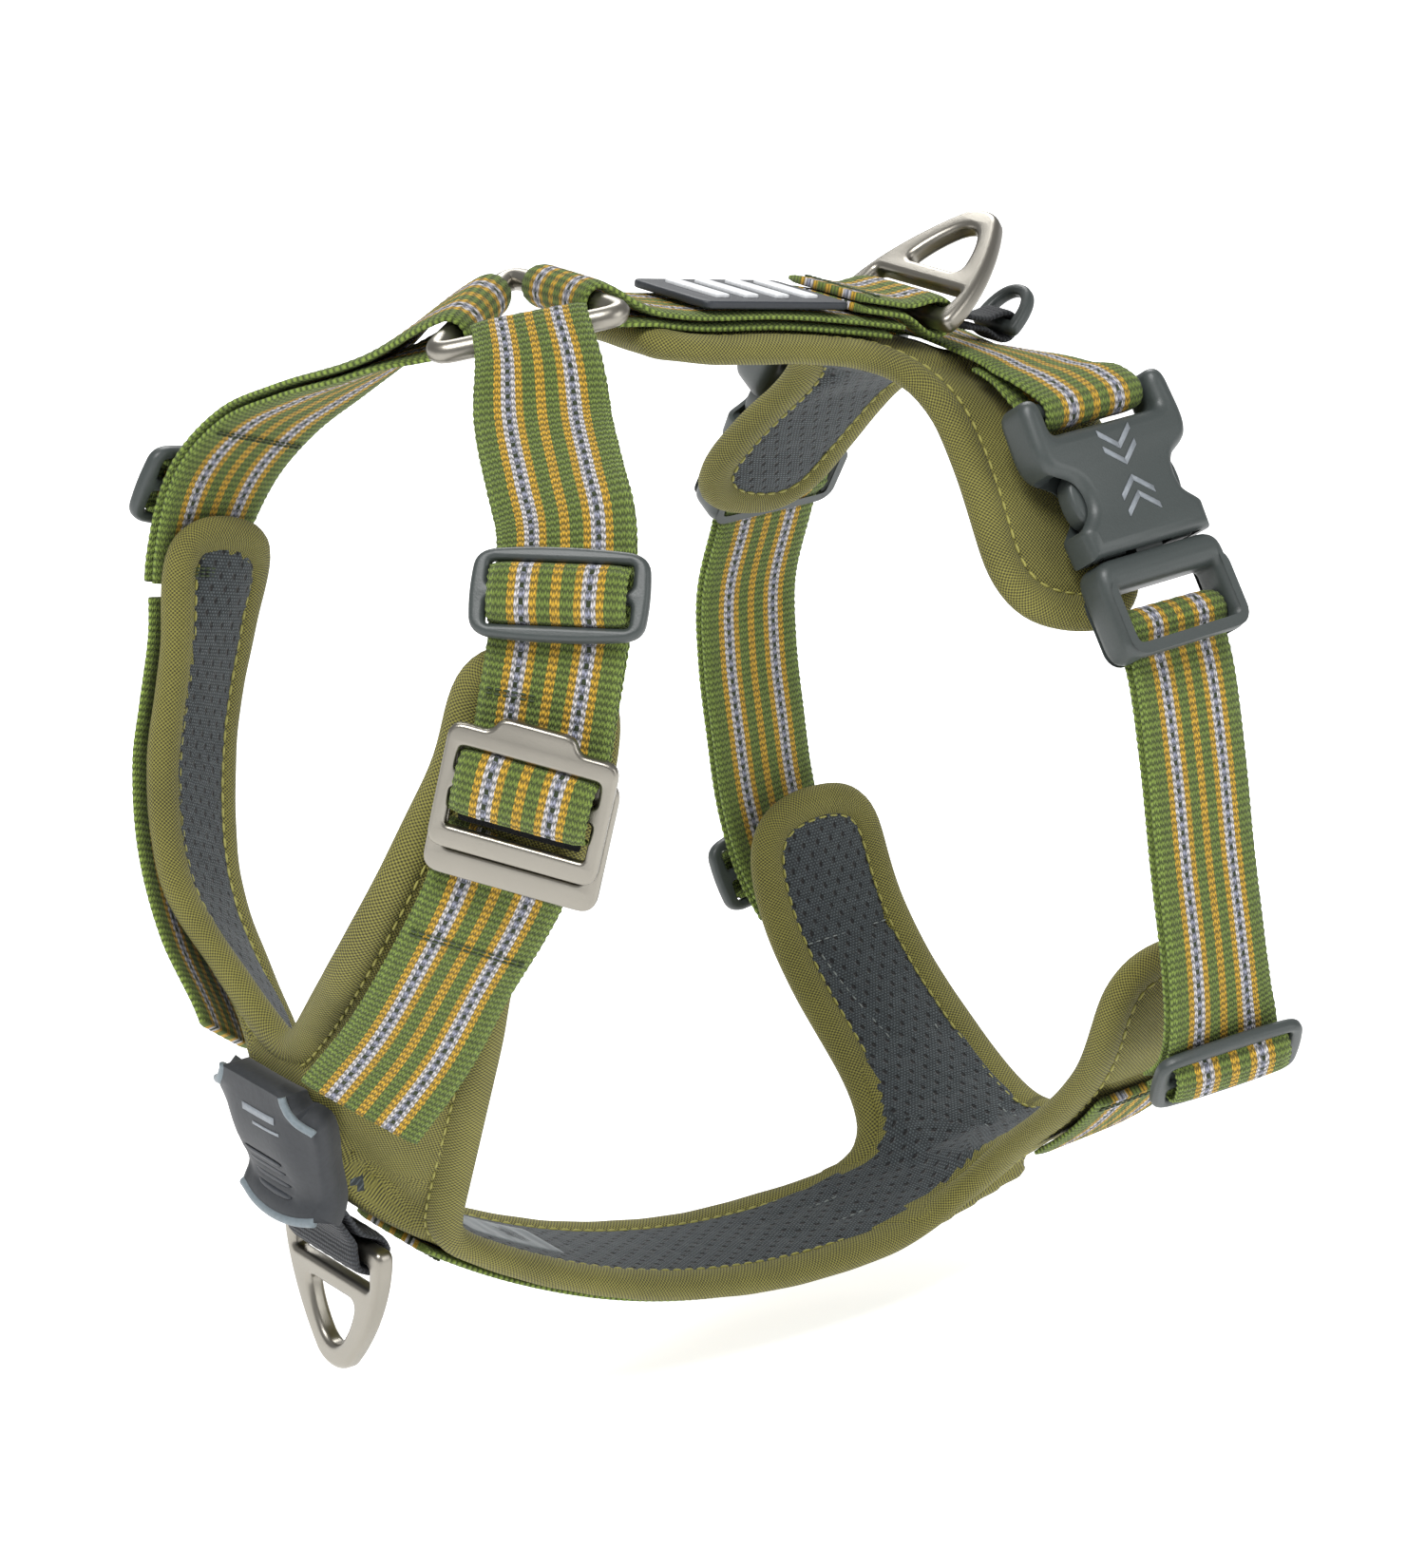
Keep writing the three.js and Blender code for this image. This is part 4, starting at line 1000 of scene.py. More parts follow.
def build_front_pad():
    belly_half, arm_half = 19.0, 18.5
    neck_tip = 0.62
    parts = []
    for side, arm, neck in ((1, belly_arm_left, neck_left), (-1, belly_arm_right, neck_right)):
        shoulder = 1.0 - arm_half / arm.length
        rear = edge_run(arm, 0, 0.04, shoulder, -arm_half * side)
        end = round_tip(arm, 0, 1.0, arm_half, -side)
        fore = edge_run(arm, 0, shoulder, 0.42, arm_half * side)
        belly_edge = edge_run(belly, 0, 0.74, 0.24, belly_half * side)
        outer_tip, inner_tip = neck_halves(side, np.array(neck_tip))
        tip_half = float(outer_tip + inner_tip) / 2
        shift = float(inner_tip - outer_tip) / 2 * side
        neck_shoulder = neck_tip - tip_half / neck.length

        def outer_edge(u):
            return -neck_halves(side, u)[0] * side

        def inner_edge(u):
            return neck_halves(side, u)[1] * side

        outer = edge_run(neck, neck_sink, 0.2, neck_shoulder, outer_edge)
        neck_end = round_tip(neck, neck_sink, neck_tip, tip_half, -side, shift=shift)
        inner = edge_run(neck, neck_sink, neck_shoulder, 0.2, inner_edge)
        group = [rear, end, fore, fillet(fore, belly_edge, 0.75), belly_edge, outer, neck_end, inner]
        if side > 0:
            crotch = (np.array([[0.0, -118.6, -128.0]]), unit(np.array([[0.0, -0.98, -0.2]])))
            group.append(crotch)
        parts += group if side > 0 else turned(group)
    spines = [
        (belly, 0, 0.0, 0.99, 12.0),
        (belly, 0, 0.82, 0.99, 17.0),
        (belly_arm_left, 0, 0.0, 0.3, 16.0),
        (belly_arm_right, 0, 0.0, 0.3, 16.0),
        (belly_arm_left, 0, 0.0, 0.78, 10.0),
        (belly_arm_right, 0, 0.0, 0.78, 10.0),
        (neck_left, neck_sink, 0.03, 0.5, 10.0),
        (neck_right, neck_sink, 0.03, 0.5, 10.0),
    ]
    quilts = []
    for side, arm in ((1, belly_arm_left), (-1, belly_arm_right)):
        quilts.append(cross_line(arm, 0.63, 11.5))
        slant = np.linspace(-2, 9, len(arm.shares(1.5, -0.02, 0.6)))
        quilts.append(quilt_line(arm, -0.02, 0.6, slant * side))
        quilts.append(quilt_line(arm, 0.02, 0.34, -8.0 * side))
    quilts.append(quilt_line(belly, 0.7, 0.97, 4.5))
    quilts.append(quilt_line(belly, 0.7, 0.97, -4.5))
    return build_pad("front_pad_body", "front_pad", parts, spines, quilts)


back_pad = build_back_pad()
front_pad = build_front_pad()


# ---- flat moulded and forged plates ---------------------------------------------------
class Outline:
    """A closed outline drawn with lines and curves."""

    def __init__(self, x, y):
        self.points = [(x, y)]

    def line(self, x, y):
        self.points.append((x, y))
        return self

    def curve(self, *controls, steps=10):
        p = np.array([self.points[-1], *controls], float)
        for t in np.linspace(0, 1, steps + 1)[1:]:
            q = p
            while len(q) > 1:
                q = q[:-1] * (1 - t) + q[1:] * t
            self.points.append(tuple(q[0]))
        return self


def rounded(width, length, radius, x=0.0, y=0.0):
    left, right, low, high = x - width / 2, x + width / 2, y - length / 2, y + length / 2
    shape = Outline(left + radius, low).line(right - radius, low)
    shape.curve((right, low), (right, low + radius), steps=6).line(right, high - radius)
    shape.curve((right, high), (right - radius, high), steps=6).line(left + radius, high)
    shape.curve((left, high), (left, high - radius), steps=6).line(left, low + radius)
    return shape.curve((left, low), (left + radius, low), steps=6)


def mirrored_outline(half):
    """A whole outline from its right half, which runs from the bottom to the top."""
    shape = Outline(0, 0)
    shape.points = half.points + [(-x, y) for x, y in reversed(half.points)]
    return shape


def plate_mesh(outline, holes, thick, bevel, steps=4):
    """A plate with rounded edges as a mesh in local mm, centred on its thickness."""
    curve = bpy.data.curves.new("outline", "CURVE")
    curve.dimensions = "2D"
    curve.fill_mode = "BOTH"
    for shape in [outline, *holes]:
        points = []
        for p in shape.points:
            if not points or math.dist(p, points[-1]) > 1e-4:
                points.append(p)
        if math.dist(points[0], points[-1]) < 1e-4:
            points.pop()
        spline = curve.splines.new("POLY")
        spline.points.add(len(points) - 1)
        spline.points.foreach_set("co", [c for x, y in points for c in (x, y, 0, 1)])
        spline.use_cyclic_u = True
    curve.extrude = thick / 2 - bevel
    curve.bevel_depth = bevel
    curve.bevel_resolution = steps
    curve.offset = -bevel
    holder = bpy.data.objects.new("outline", curve)
    bpy.context.scene.collection.objects.link(holder)
    bpy.context.view_layer.update()
    mesh = evaluated_mesh(holder)
    bpy.data.objects.remove(holder)
    bpy.data.curves.remove(curve)
    return mesh


def weld(mesh, distance=0.005):
    bm = bmesh.new()
    bm.from_mesh(mesh)
    bmesh.ops.remove_doubles(bm, verts=bm.verts, dist=distance)
    bmesh.ops.recalc_face_normals(bm, faces=bm.faces)
    bm.to_mesh(mesh)
    bm.free()
    return mesh


def block_mesh(width, length, height, x=0.0, y=0.0, z=0.0):
    half = np.array([width, length, height]) / 2
    corners = np.array([(a, b, c) for a in (-1, 1) for b in (-1, 1) for c in (-1, 1)]) * half + (x, y, z)
    faces = [(0, 1, 3, 2), (4, 6, 7, 5), (0, 4, 5, 1), (2, 3, 7, 6), (0, 2, 6, 4), (1, 5, 7, 3)]
    mesh = bpy.data.meshes.new("block")
    mesh.from_pydata(corners.tolist(), [], faces)
    return weld(mesh)


def rod_mesh(radius, length, y, z):
    angle = around(24)
    ring = np.column_stack([np.zeros(24), y + np.cos(angle) * radius, z + np.sin(angle) * radius])
    sections = [ring + (x, 0, 0) for x in (-length / 2, length / 2)]
    vertices, faces = loft_mesh(sections)
    mesh = bpy.data.meshes.new("rod")
    mesh.from_pydata(vertices.tolist(), [], [list(f) for f in faces])
    return weld(mesh)


def boolean(base, tools, operation):
    """The base mesh cut by or joined to the tools."""
    piece = bpy.data.objects.new("base", weld(base))
    bpy.context.scene.collection.objects.link(piece)
    helpers = []
    for tool in tools:
        helper = bpy.data.objects.new("tool", weld(tool))
        bpy.context.scene.collection.objects.link(helper)
        modifier = piece.modifiers.new("boolean", "BOOLEAN")
        modifier.object = helper
        modifier.operation = operation
        modifier.solver = "EXACT"
        helpers.append(helper)
    bpy.context.view_layer.update()
    mesh = evaluated_mesh(piece)
    for item in [piece, *helpers]:
        bpy.data.objects.remove(item)
    return mesh


def place(name, mesh, at, material, body, replaces=(), sharp=38):
    """Puts a local mesh in mm at a seat, in metres, and ties it to its body."""
    weld(mesh)
    mesh.transform(Matrix.Scale(MM, 4) @ Matrix(at.tolist()))
    mesh.materials.clear()
    mesh.materials.append(material)
    mesh.polygons.foreach_set("use_smooth", [True] * len(mesh.polygons))
    mesh.set_sharp_from_angle(angle=math.radians(sharp))
    mesh.name = name
    piece = bpy.data.objects.new(name, mesh)
    bpy.context.scene.collection.objects.link(piece)
    if replaces:
        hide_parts(*replaces)
    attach(piece, body)
    return piece


def leash_ring_mesh():
    half = Outline(-15.5, -2.2).line(15.5, -2.2).curve((17.5, -2.2), (17.5, 0.4), steps=6)
    half.curve((17.1, 9), (11.5, 19), (6, 25.4), steps=16).curve((3.5, 29), (-3.5, 29), (-6, 25.4), steps=14)
    half.curve((-11.5, 19), (-17.1, 9), (-17.5, 0.4), steps=16).curve((-17.5, -2.2), (-15.5, -2.2), steps=6)
    eye = Outline(-6.0, 11).line(6.0, 11).curve((8.6, 11), (7.7, 13.6), steps=8)
    eye.curve((6.4, 18), (3.4, 21.4), steps=8).curve((0, 24.6), (-3.4, 21.4), steps=10)
    eye.curve((-6.4, 18), (-7.7, 13.6), steps=8).curve((-8.6, 11), (-6.0, 11), steps=8)
    return plate_mesh(half, [rounded(27, 5, 1.2, 0, 4.4), eye], 4.0, 1.35, 5)


REAR_PIVOT = (0, 30.8, -5.2)
REAR_SEAT = seat(REAR_PIVOT, (0, 0.836, 0.549), (0, -0.549, 0.836))
FRONT_SEAT = seat(CHEST_LOOP[0][:3], (0, -0.02, -1), (0, -1, 0.02))
for end, at in (("rear", REAR_SEAT), ("front", FRONT_SEAT)):
    ring = f"{end}_leash_ring"
    place(f"{end}_ring_metal", leash_ring_mesh(), at, METAL, ring, [ring])


def withers_ring():
    """The triangular wire ring, with rounded corners."""
    corners = np.array([(0, -16.5), (19.5, 16.5), (-19.5, 16.5)], float)
    points = []
    for i, at in enumerate(corners):
        before = at + unit(corners[i - 1] - at) * 5.2
        after = at + unit(corners[(i + 1) % 3] - at) * 5.2
        for t in np.linspace(0, 1, 11):
            points.append((1 - t) ** 2 * before + 2 * t * (1 - t) * at + t * t * after)
    points = np.array(points)
    ring = np.vstack([points, points[:1]])
    run = run_along(ring)
    points = read_at(np.linspace(0, run[-1], 97)[:-1], run, ring)
    tangent = unit(np.roll(points, -1, 0) - np.roll(points, 1, 0))
    side = np.column_stack([-tangent[:, 1], tangent[:, 0]])
    angle = around(18)
    m = seat((0, -66.9, 5.1), (0, 0.975, 0.222), (0, -0.222, 0.975))
    sections = []
    for p, s in zip(points, side):
        local = np.column_stack([
            p[0] + np.cos(angle) * WIRE_RADIUS * s[0],
            p[1] + np.cos(angle) * WIRE_RADIUS * s[1],
            np.sin(angle) * WIRE_RADIUS,
        ])
        sections.append(local @ m[:3, :3].T + m[:3, 3])
    piece = loft("withers_ring_wire", sections, [METAL], closed=True)
    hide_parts("withers_ring")
    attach(piece, "harness")


withers_ring()

# ---- small light loop ----------------------------------------------------------------
loop_half = Outline(0, -1.4).line(5.0, -1.4).curve((6.6, -1.4), (6.6, 0.4), steps=6)
loop_half.curve((6.6, 5), (4.8, 10), (0, 10), steps=14)
loop_hole = Outline(-3.9, 1.4).line(3.9, 1.4).curve((4, 4.2), (2.8, 7.6), (0, 7.6), steps=10)
loop_hole.curve((-2.8, 7.6), (-4, 4.2), (-3.9, 1.4), steps=10)
LIGHT_SEAT = seat(LIGHT_TAB[0][:3], (0, 0.74, 0.67), (0, -0.67, 0.74))
loop_mesh = plate_mesh(mirrored_outline(loop_half), [loop_hole], 2.8, 1.0, 4)
place("light_loop_plastic", loop_mesh, LIGHT_SEAT, PLASTIC, "light_loop", ["light_loop"])
looped_webbing("light_tab_webbing", LIGHT_TAB, "harness", ["light_loop_tab"], 2.8, settle=6.0,
               width=7, thick=1.2, material=BLACK_WEB)

# ---- side-release buckles -------------------------------------------------------------
BUCKLE_THICK = 10.0


def female_mesh():
    half = Outline(0, 0.4).line(15.6, 0.4).line(15.9, 5.6)
    half.curve((15.9, 7.2), (14, 7.8), (12.6, 9.6), steps=10)
    half.curve((11.7, 11), (11.7, 14.4), (13.2, 16.2), steps=10)
    half.curve((14.4, 17.6), (17, 18), (18.4, 19.8), steps=10)
    half.curve((19.7, 21.6), (19.7, 24), (19.6, 26), steps=8)
    half.line(19.3, 31).curve((19, 34.6), (16.6, 34.6), steps=8).curve((14.2, 34.6), (14.2, 31), steps=8)
    half.line(14.2, 28.2).curve((14.2, 26.5), (12.4, 26.5), steps=6).line(0, 26.5)
    body = plate_mesh(mirrored_outline(half), [], BUCKLE_THICK, 2.6, 5)
    pocket = block_mesh(27.2, 24, 6, 0, 11.4, 0)
    window = plate_mesh(rounded(44, 12.6, 3.0, 0, 13), [], 6, 0.8, 2)
    return boolean(boolean(body, [pocket, window], "DIFFERENCE"), [rod_mesh(BAR_RADIUS, 30, 32, 0)], "UNION")


def male_mesh():
    shape = rounded(33, 20.4, 4.5, 0, -10.4)
    slot = rounded(26.4, 11, 1.2, 0, -12.2)
    body = plate_mesh(shape, [slot], BUCKLE_THICK - 0.6, 2.6, 5)
    passage = block_mesh(26.4, 6, 6.7, 0, -19.6, -1)
    cut = boolean(body, [passage], "DIFFERENCE")
    return boolean(cut, [rod_mesh(BAR_RADIUS, 30, -14.5, -1.2), block_mesh(7, 20, 4, 0, 9, 0)], "UNION")


def prong_mesh(side):
    shape = Outline(side * 6, 0.3).line(side * 11.4, 0.3).curve((side * 12, 0.3), (side * 12, 1), steps=4)
    shape.line(side * 12.2, 7.6).curve((side * 13.8, 8.6), (side * 14.2, 10.4), (side * 14.2, 13), steps=8)
    shape.curve((side * 14.2, 16.8), (side * 12.4, 18.0), (side * 11.0, 18.8), steps=8)
    shape.line(side * 8.6, 20.2).line(side * 8.2, 16).line(side * 8.2, 6).line(side * 6, 4.5)
    return plate_mesh(shape, [], 5.0, 1.1, 4)


def glide_mesh():
    """A three-bar slide of the CAD part's outline, with rounded rails."""
    half = Outline(0, -8.8).curve((7, -8.8), (12.6, -8.2), steps=10)
    half.curve((15.8, -7.6), (16.2, -5.0), steps=6)
    half.curve((16.8, 0), (16.2, 5.0), steps=8).curve((15.8, 7.6), (12.6, 8.2), steps=6)
    half.curve((7, 8.8), (0, 8.8), steps=10)
    holes = [rounded(26.4, 4.6, 1.0, 0, y) for y in (-3.6, 3.6)]
    return plate_mesh(mirrored_outline(half), holes, 2.8, 1.1, 5)


def hump(name, at, body, replaces, reach=5.0, rise=3.2):
    """Webbing that rises over a centre bar between two slots."""
    curve = Spline([(0, y, z) for y, z in (
        (-reach - 0.1, -1.2), (-reach, -0.2), (-reach + 0.5, rise * 0.5), (-reach * 0.55, rise * 0.93),
        (0, rise),
        (reach * 0.55, rise * 0.93), (reach - 0.5, rise * 0.5), (reach, -0.2), (reach + 0.1, -1.2),
    )])
    t = np.linspace(0, 1, 30)
    local = curve.at(t)
    tangent = unit(curve.at(t + 1e-3) - curve.at(t - 1e-3))
    out = np.column_stack([np.zeros(30), -tangent[:, 2], tangent[:, 1]])
    r, p = at[:3, :3], at[:3, 3]
    run = run_along(local)
    across = np.repeat(r[:, :1].T, 30, 0)
    sections, uv = web_sections(local @ r.T + p, across, out @ r.T, run, WEB_WIDTH)
    piece = loft(name, sections, [WEBBING], uv)
    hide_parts(replaces)
    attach(piece, body)


def chevron_parts(at):
    """Plain nested chevrons, slightly raised, in place of the buckle's mark."""
    parts = []
    for y, sign in ((8.2, 1), (11.6, 1), (18.4, -1), (21.8, -1)):
        for side in (-1, 1):
            x, dy = 4.2 * side, 1.7 * sign
            p = np.array([(0, y + dy), (x, y - dy), (x, y - dy + 1.3), (0, y + dy + 1.3)])
            low = np.column_stack([p, np.full(4, BUCKLE_THICK / 2 - 0.1)])
            high = np.column_stack([p, np.full(4, BUCKLE_THICK / 2 + 0.18)])
            v, f = loft_mesh([low, high])
            parts.append((v @ at[:3, :3].T + at[:3, 3], f))
    return parts


WEB_GAP = 0.4
CAD_GLIDE_THICK = 2.6
GLIDE_LIFT = LAYER / 2 + WEB_THICK / 2 + WEB_GAP + CAD_GLIDE_THICK / 2
for name, side in (("left", 1), ("right", -1)):
    split = (57.2 * side, 47, -46)
    buckle = seat(split, (-0.54 * side, -0.05, 0.84), (0.84 * side, 0, 0.54))
    female, male = f"buckle_female_{name}", f"buckle_male_{name}"
    place(f"female_half_{name}", female_mesh(), buckle, PLASTIC, "harness", [female])
    place(f"male_half_{name}", male_mesh(), buckle, PLASTIC, male, [male])
    for where, hand in (("front", -side), ("rear", side)):
        node = f"buckle_prong_{where}_{name}"
        place(f"prong_{where}_{name}", prong_mesh(hand), buckle, PLASTIC, node, [node])
    chevrons = merged(f"buckle_chevrons_{name}", chevron_parts(buckle), [PRINT])
    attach(chevrons, "harness")

    top = GIRTH_TOP if side > 0 else mirror(GIRTH_TOP)
    looped_webbing(f"girth_top_{name}", top, "harness", [f"girth_webbing_{name}"], BUCKLE_LOOP_RADIUS,
                   end=0.99, inner_end=0.5)
    strap = GIRTH_LEFT if side > 0 else GIRTH_RIGHT
    piece = looped_webbing(f"girth_side_{name}", strap, None, [f"girth_strap_{name}"],
                           BUCKLE_LOOP_RADIUS, end=0.97, settle=6.0)
    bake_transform(piece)
    glide = seat_on(Route(strap), 0.865, GLIDE_LIFT + 0.5)
    adjuster = f"girth_adjuster_{name}"
    place(f"girth_glide_{name}", glide_mesh(), glide, PLASTIC, adjuster, [adjuster])
    hump(f"girth_hump_{name}", glide, adjuster, f"girth_adjuster_webbing_{name}")
    arm = BELLY_ARM if side > 0 else mirror(BELLY_ARM)
    anchor = f"girth_anchor_{name}"
    webbing(f"girth_anchor_webbing_{name}", arm, "harness", [anchor], 0.34, 0.62, ON_ARM)

# ---- back webbing, patch and rear ring loop ---------------------------------------------
looped_webbing("spine_webbing", BACK, "harness", ["back_webbing"], ROLL_RADIUS, end=0.665, inner_end=0.64,
               loop_width=RING_LOOP_WIDTH)
looped_webbing("rear_loop_webbing", REAR_LOOP, "harness", ["rear_ring_loop"], RING_LOOP_RADIUS, settle=9.0)
patch_point, patch_tangent, patch_out, _ = Route(BACK).frames([0.375], LAYER + 1.2)
PATCH_SEAT = seat(patch_point[0], patch_tangent[0], patch_out[0])
badge_mesh = plate_mesh(rounded(25, 36, 2.5), [], 1.6, 0.5, 3)
place("back_badge", badge_mesh, PATCH_SEAT, RUBBER, "harness", ["back_patch"])


def badge_bars():
    """Plain raised bars in place of the badge's marks."""
    parts = []
    for y in (-11, -3.8, 3.8, 11):
        mesh = plate_mesh(rounded(17, 3.6, 0.8, 0, y), [], 0.9, 0.3, 2)
        points = np.array([v.co for v in mesh.vertices]) + (0, 0, 1.05)
        faces = [tuple(p.vertices) for p in mesh.polygons]
        parts.append((points @ PATCH_SEAT[:3, :3].T + PATCH_SEAT[:3, 3], faces))
    piece = merged("badge_bars", parts, [MARK], sharp=40)
    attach(piece, "harness")


badge_bars()

# ---- neck straps ------------------------------------------------------------------------
for name, rows, end in (("left", NECK_LEFT, 0.5), ("right", NECK_RIGHT, 0.46)):
    looped_webbing(f"neck_side_{name}", rows, "harness", [f"neck_strap_{name}"], ROLL_RADIUS,
                   end=end, settle=22.0, loop_width=22)
for name, rows, at, start, end in (
    ("left", NECK_LEFT, 0.335, 0.575, 0.93), ("right", NECK_RIGHT, 0.37, 0.475, 0.93),
):
    glide = seat_on(Route(rows), at, GLIDE_LIFT)
    adjuster = f"neck_adjuster_{name}"
    place(f"neck_glide_{name}", glide_mesh(), glide, PLASTIC, adjuster, [adjuster])
    hump(f"neck_hump_{name}", glide, adjuster, f"neck_adjuster_webbing_{name}")
    webbing(f"neck_sewn_webbing_{name}", rows, "harness", [f"neck_webbing_{name}"], start, end)

RELEASE = seat_on(Route(NECK_LEFT), 0.51, 7.6)
release_half = Outline(0, -13).line(13, -13).curve((16, -13), (16, -10), steps=6).line(16, 7.5)
release_half.curve((16, 10.5), (13, 10.5), steps=6).line(9.6, 10.5).curve((8.2, 10.5), (7.4, 12.2), steps=5)
release_half.curve((6.8, 13.4), (4.6, 13.4), steps=6).line(0, 13.4)
release_holes = [rounded(26.4, 4.6, 1, 0, 4.1), rounded(26.4, 7.4, 1, 0, -5.1)]
front_plate = plate_mesh(mirrored_outline(release_half), release_holes, 2.4, 0.8, 4)
place("release_front", front_plate, RELEASE, METAL, "neck_release_plate", ["neck_buckle_front_plate"])
BACK_PLATE_SEAT = RELEASE.copy()
BACK_PLATE_SEAT[:3, 3] += RELEASE[:3, :3] @ np.array([0, -6.5, -3.0])
back_plate = plate_mesh(rounded(33, 25, 3.5), [rounded(26.6, 15, 1.5)], 2.2, 0.7, 4)
place("release_back", back_plate, BACK_PLATE_SEAT, METAL, "harness", ["neck_buckle_back_plate"])
hump("release_hump", RELEASE, "neck_release_plate", "neck_buckle_webbing", 5.4, 3.0)
felt_mesh = plate_mesh(rounded(23.2, 6.6, 0.8, 0, -4.8), [], 1.0, 0.4, 3)
place("release_pad", felt_mesh, seat_on(Route(NECK_LEFT), 0.51, 5.4), FELT, "neck_release_plate")

# ---- belly and chest --------------------------------------------------------------------
webbing("belly_long_webbing", BELLY, "harness", ["belly_webbing"], 0.24, 0.86, ON_PAD)
looped_webbing("chest_loop_webbing", CHEST_LOOP, "harness", ["front_ring_loop"], RING_LOOP_RADIUS, settle=6.0,
               material=BLACK_WEB)
webbing("size_tag", BELLY, "harness", ["size_label"], 0.3, 0.42, -2.6, LABEL, 15, 0.5)


CHEST_UNDER = ("front_pad_body", "neck_sewn_webbing_left", "neck_sewn_webbing_right",
               "belly_long_webbing", "chest_loop_webbing")
# How far the patch's face stands off what is under it, and how far its back reaches in behind the face.
CHEST_LIFT = 6.0
CHEST_BACK = 5.4
CHEST_DEEPEST = -70
CHEST_ROWS = 60
DRAPE_ROUNDS = 30
CHEST_RIBS = (0.71, 0.775, 0.84, 0.905)
# The chest patch in front view, inside the CAD patch: x and z down its near edge, from the neck to the foot.
NEAR_EDGE = [
    (0.0, 10.5, -134.4), (0.12, 10.8, -135.6), (0.24, 11.8, -137.2), (0.36, 14.0, -138.8),
    (0.46, 17.4, -140.0), (0.52, 17.2, -142.2), (0.6, 16.4, -145.6), (0.7, 15.2, -149.8),
    (0.82, 13.9, -155.0), (1.0, 12.8, -161.0),
]
FAR_EDGE = [(share, -x, z) for share, x, z in NEAR_EDGE]


def neighbour_mean(y):
    padded = np.pad(y, 1, mode="edge")
    return (padded[:-2, 1:-1] + padded[2:, 1:-1] + padded[1:-1, :-2] + padded[1:-1, 2:]) / 4


def drape(x, z, names):
    """How far forward a taut sheet lies over the named pieces, seen from in front."""
    trees = []
    for name in names:
        mesh = bpy.data.objects[name].data
        trees.append(BVHTree.FromPolygons([v.co for v in mesh.vertices], [p.vertices for p in mesh.polygons]))
    wall = np.full(x.shape, np.inf)
    for i, j in np.ndindex(x.shape):
        for tree in trees:
            hit = tree.ray_cast((x[i, j] * MM, -0.4, z[i, j] * MM), (0, 1, 0))[0]
            if hit is not None and hit.y / MM < CHEST_DEEPEST:
                wall[i, j] = min(wall[i, j], hit.y / MM)
    found = np.isfinite(wall)
    y = np.where(found, wall, np.median(wall[found]))
    for _ in range(400):
        y = np.where(found, wall, neighbour_mean(y))
    for _ in range(DRAPE_ROUNDS):
        y = np.minimum(neighbour_mean(y), wall)
    for _ in range(16):
        y = neighbour_mean(y)
    return y


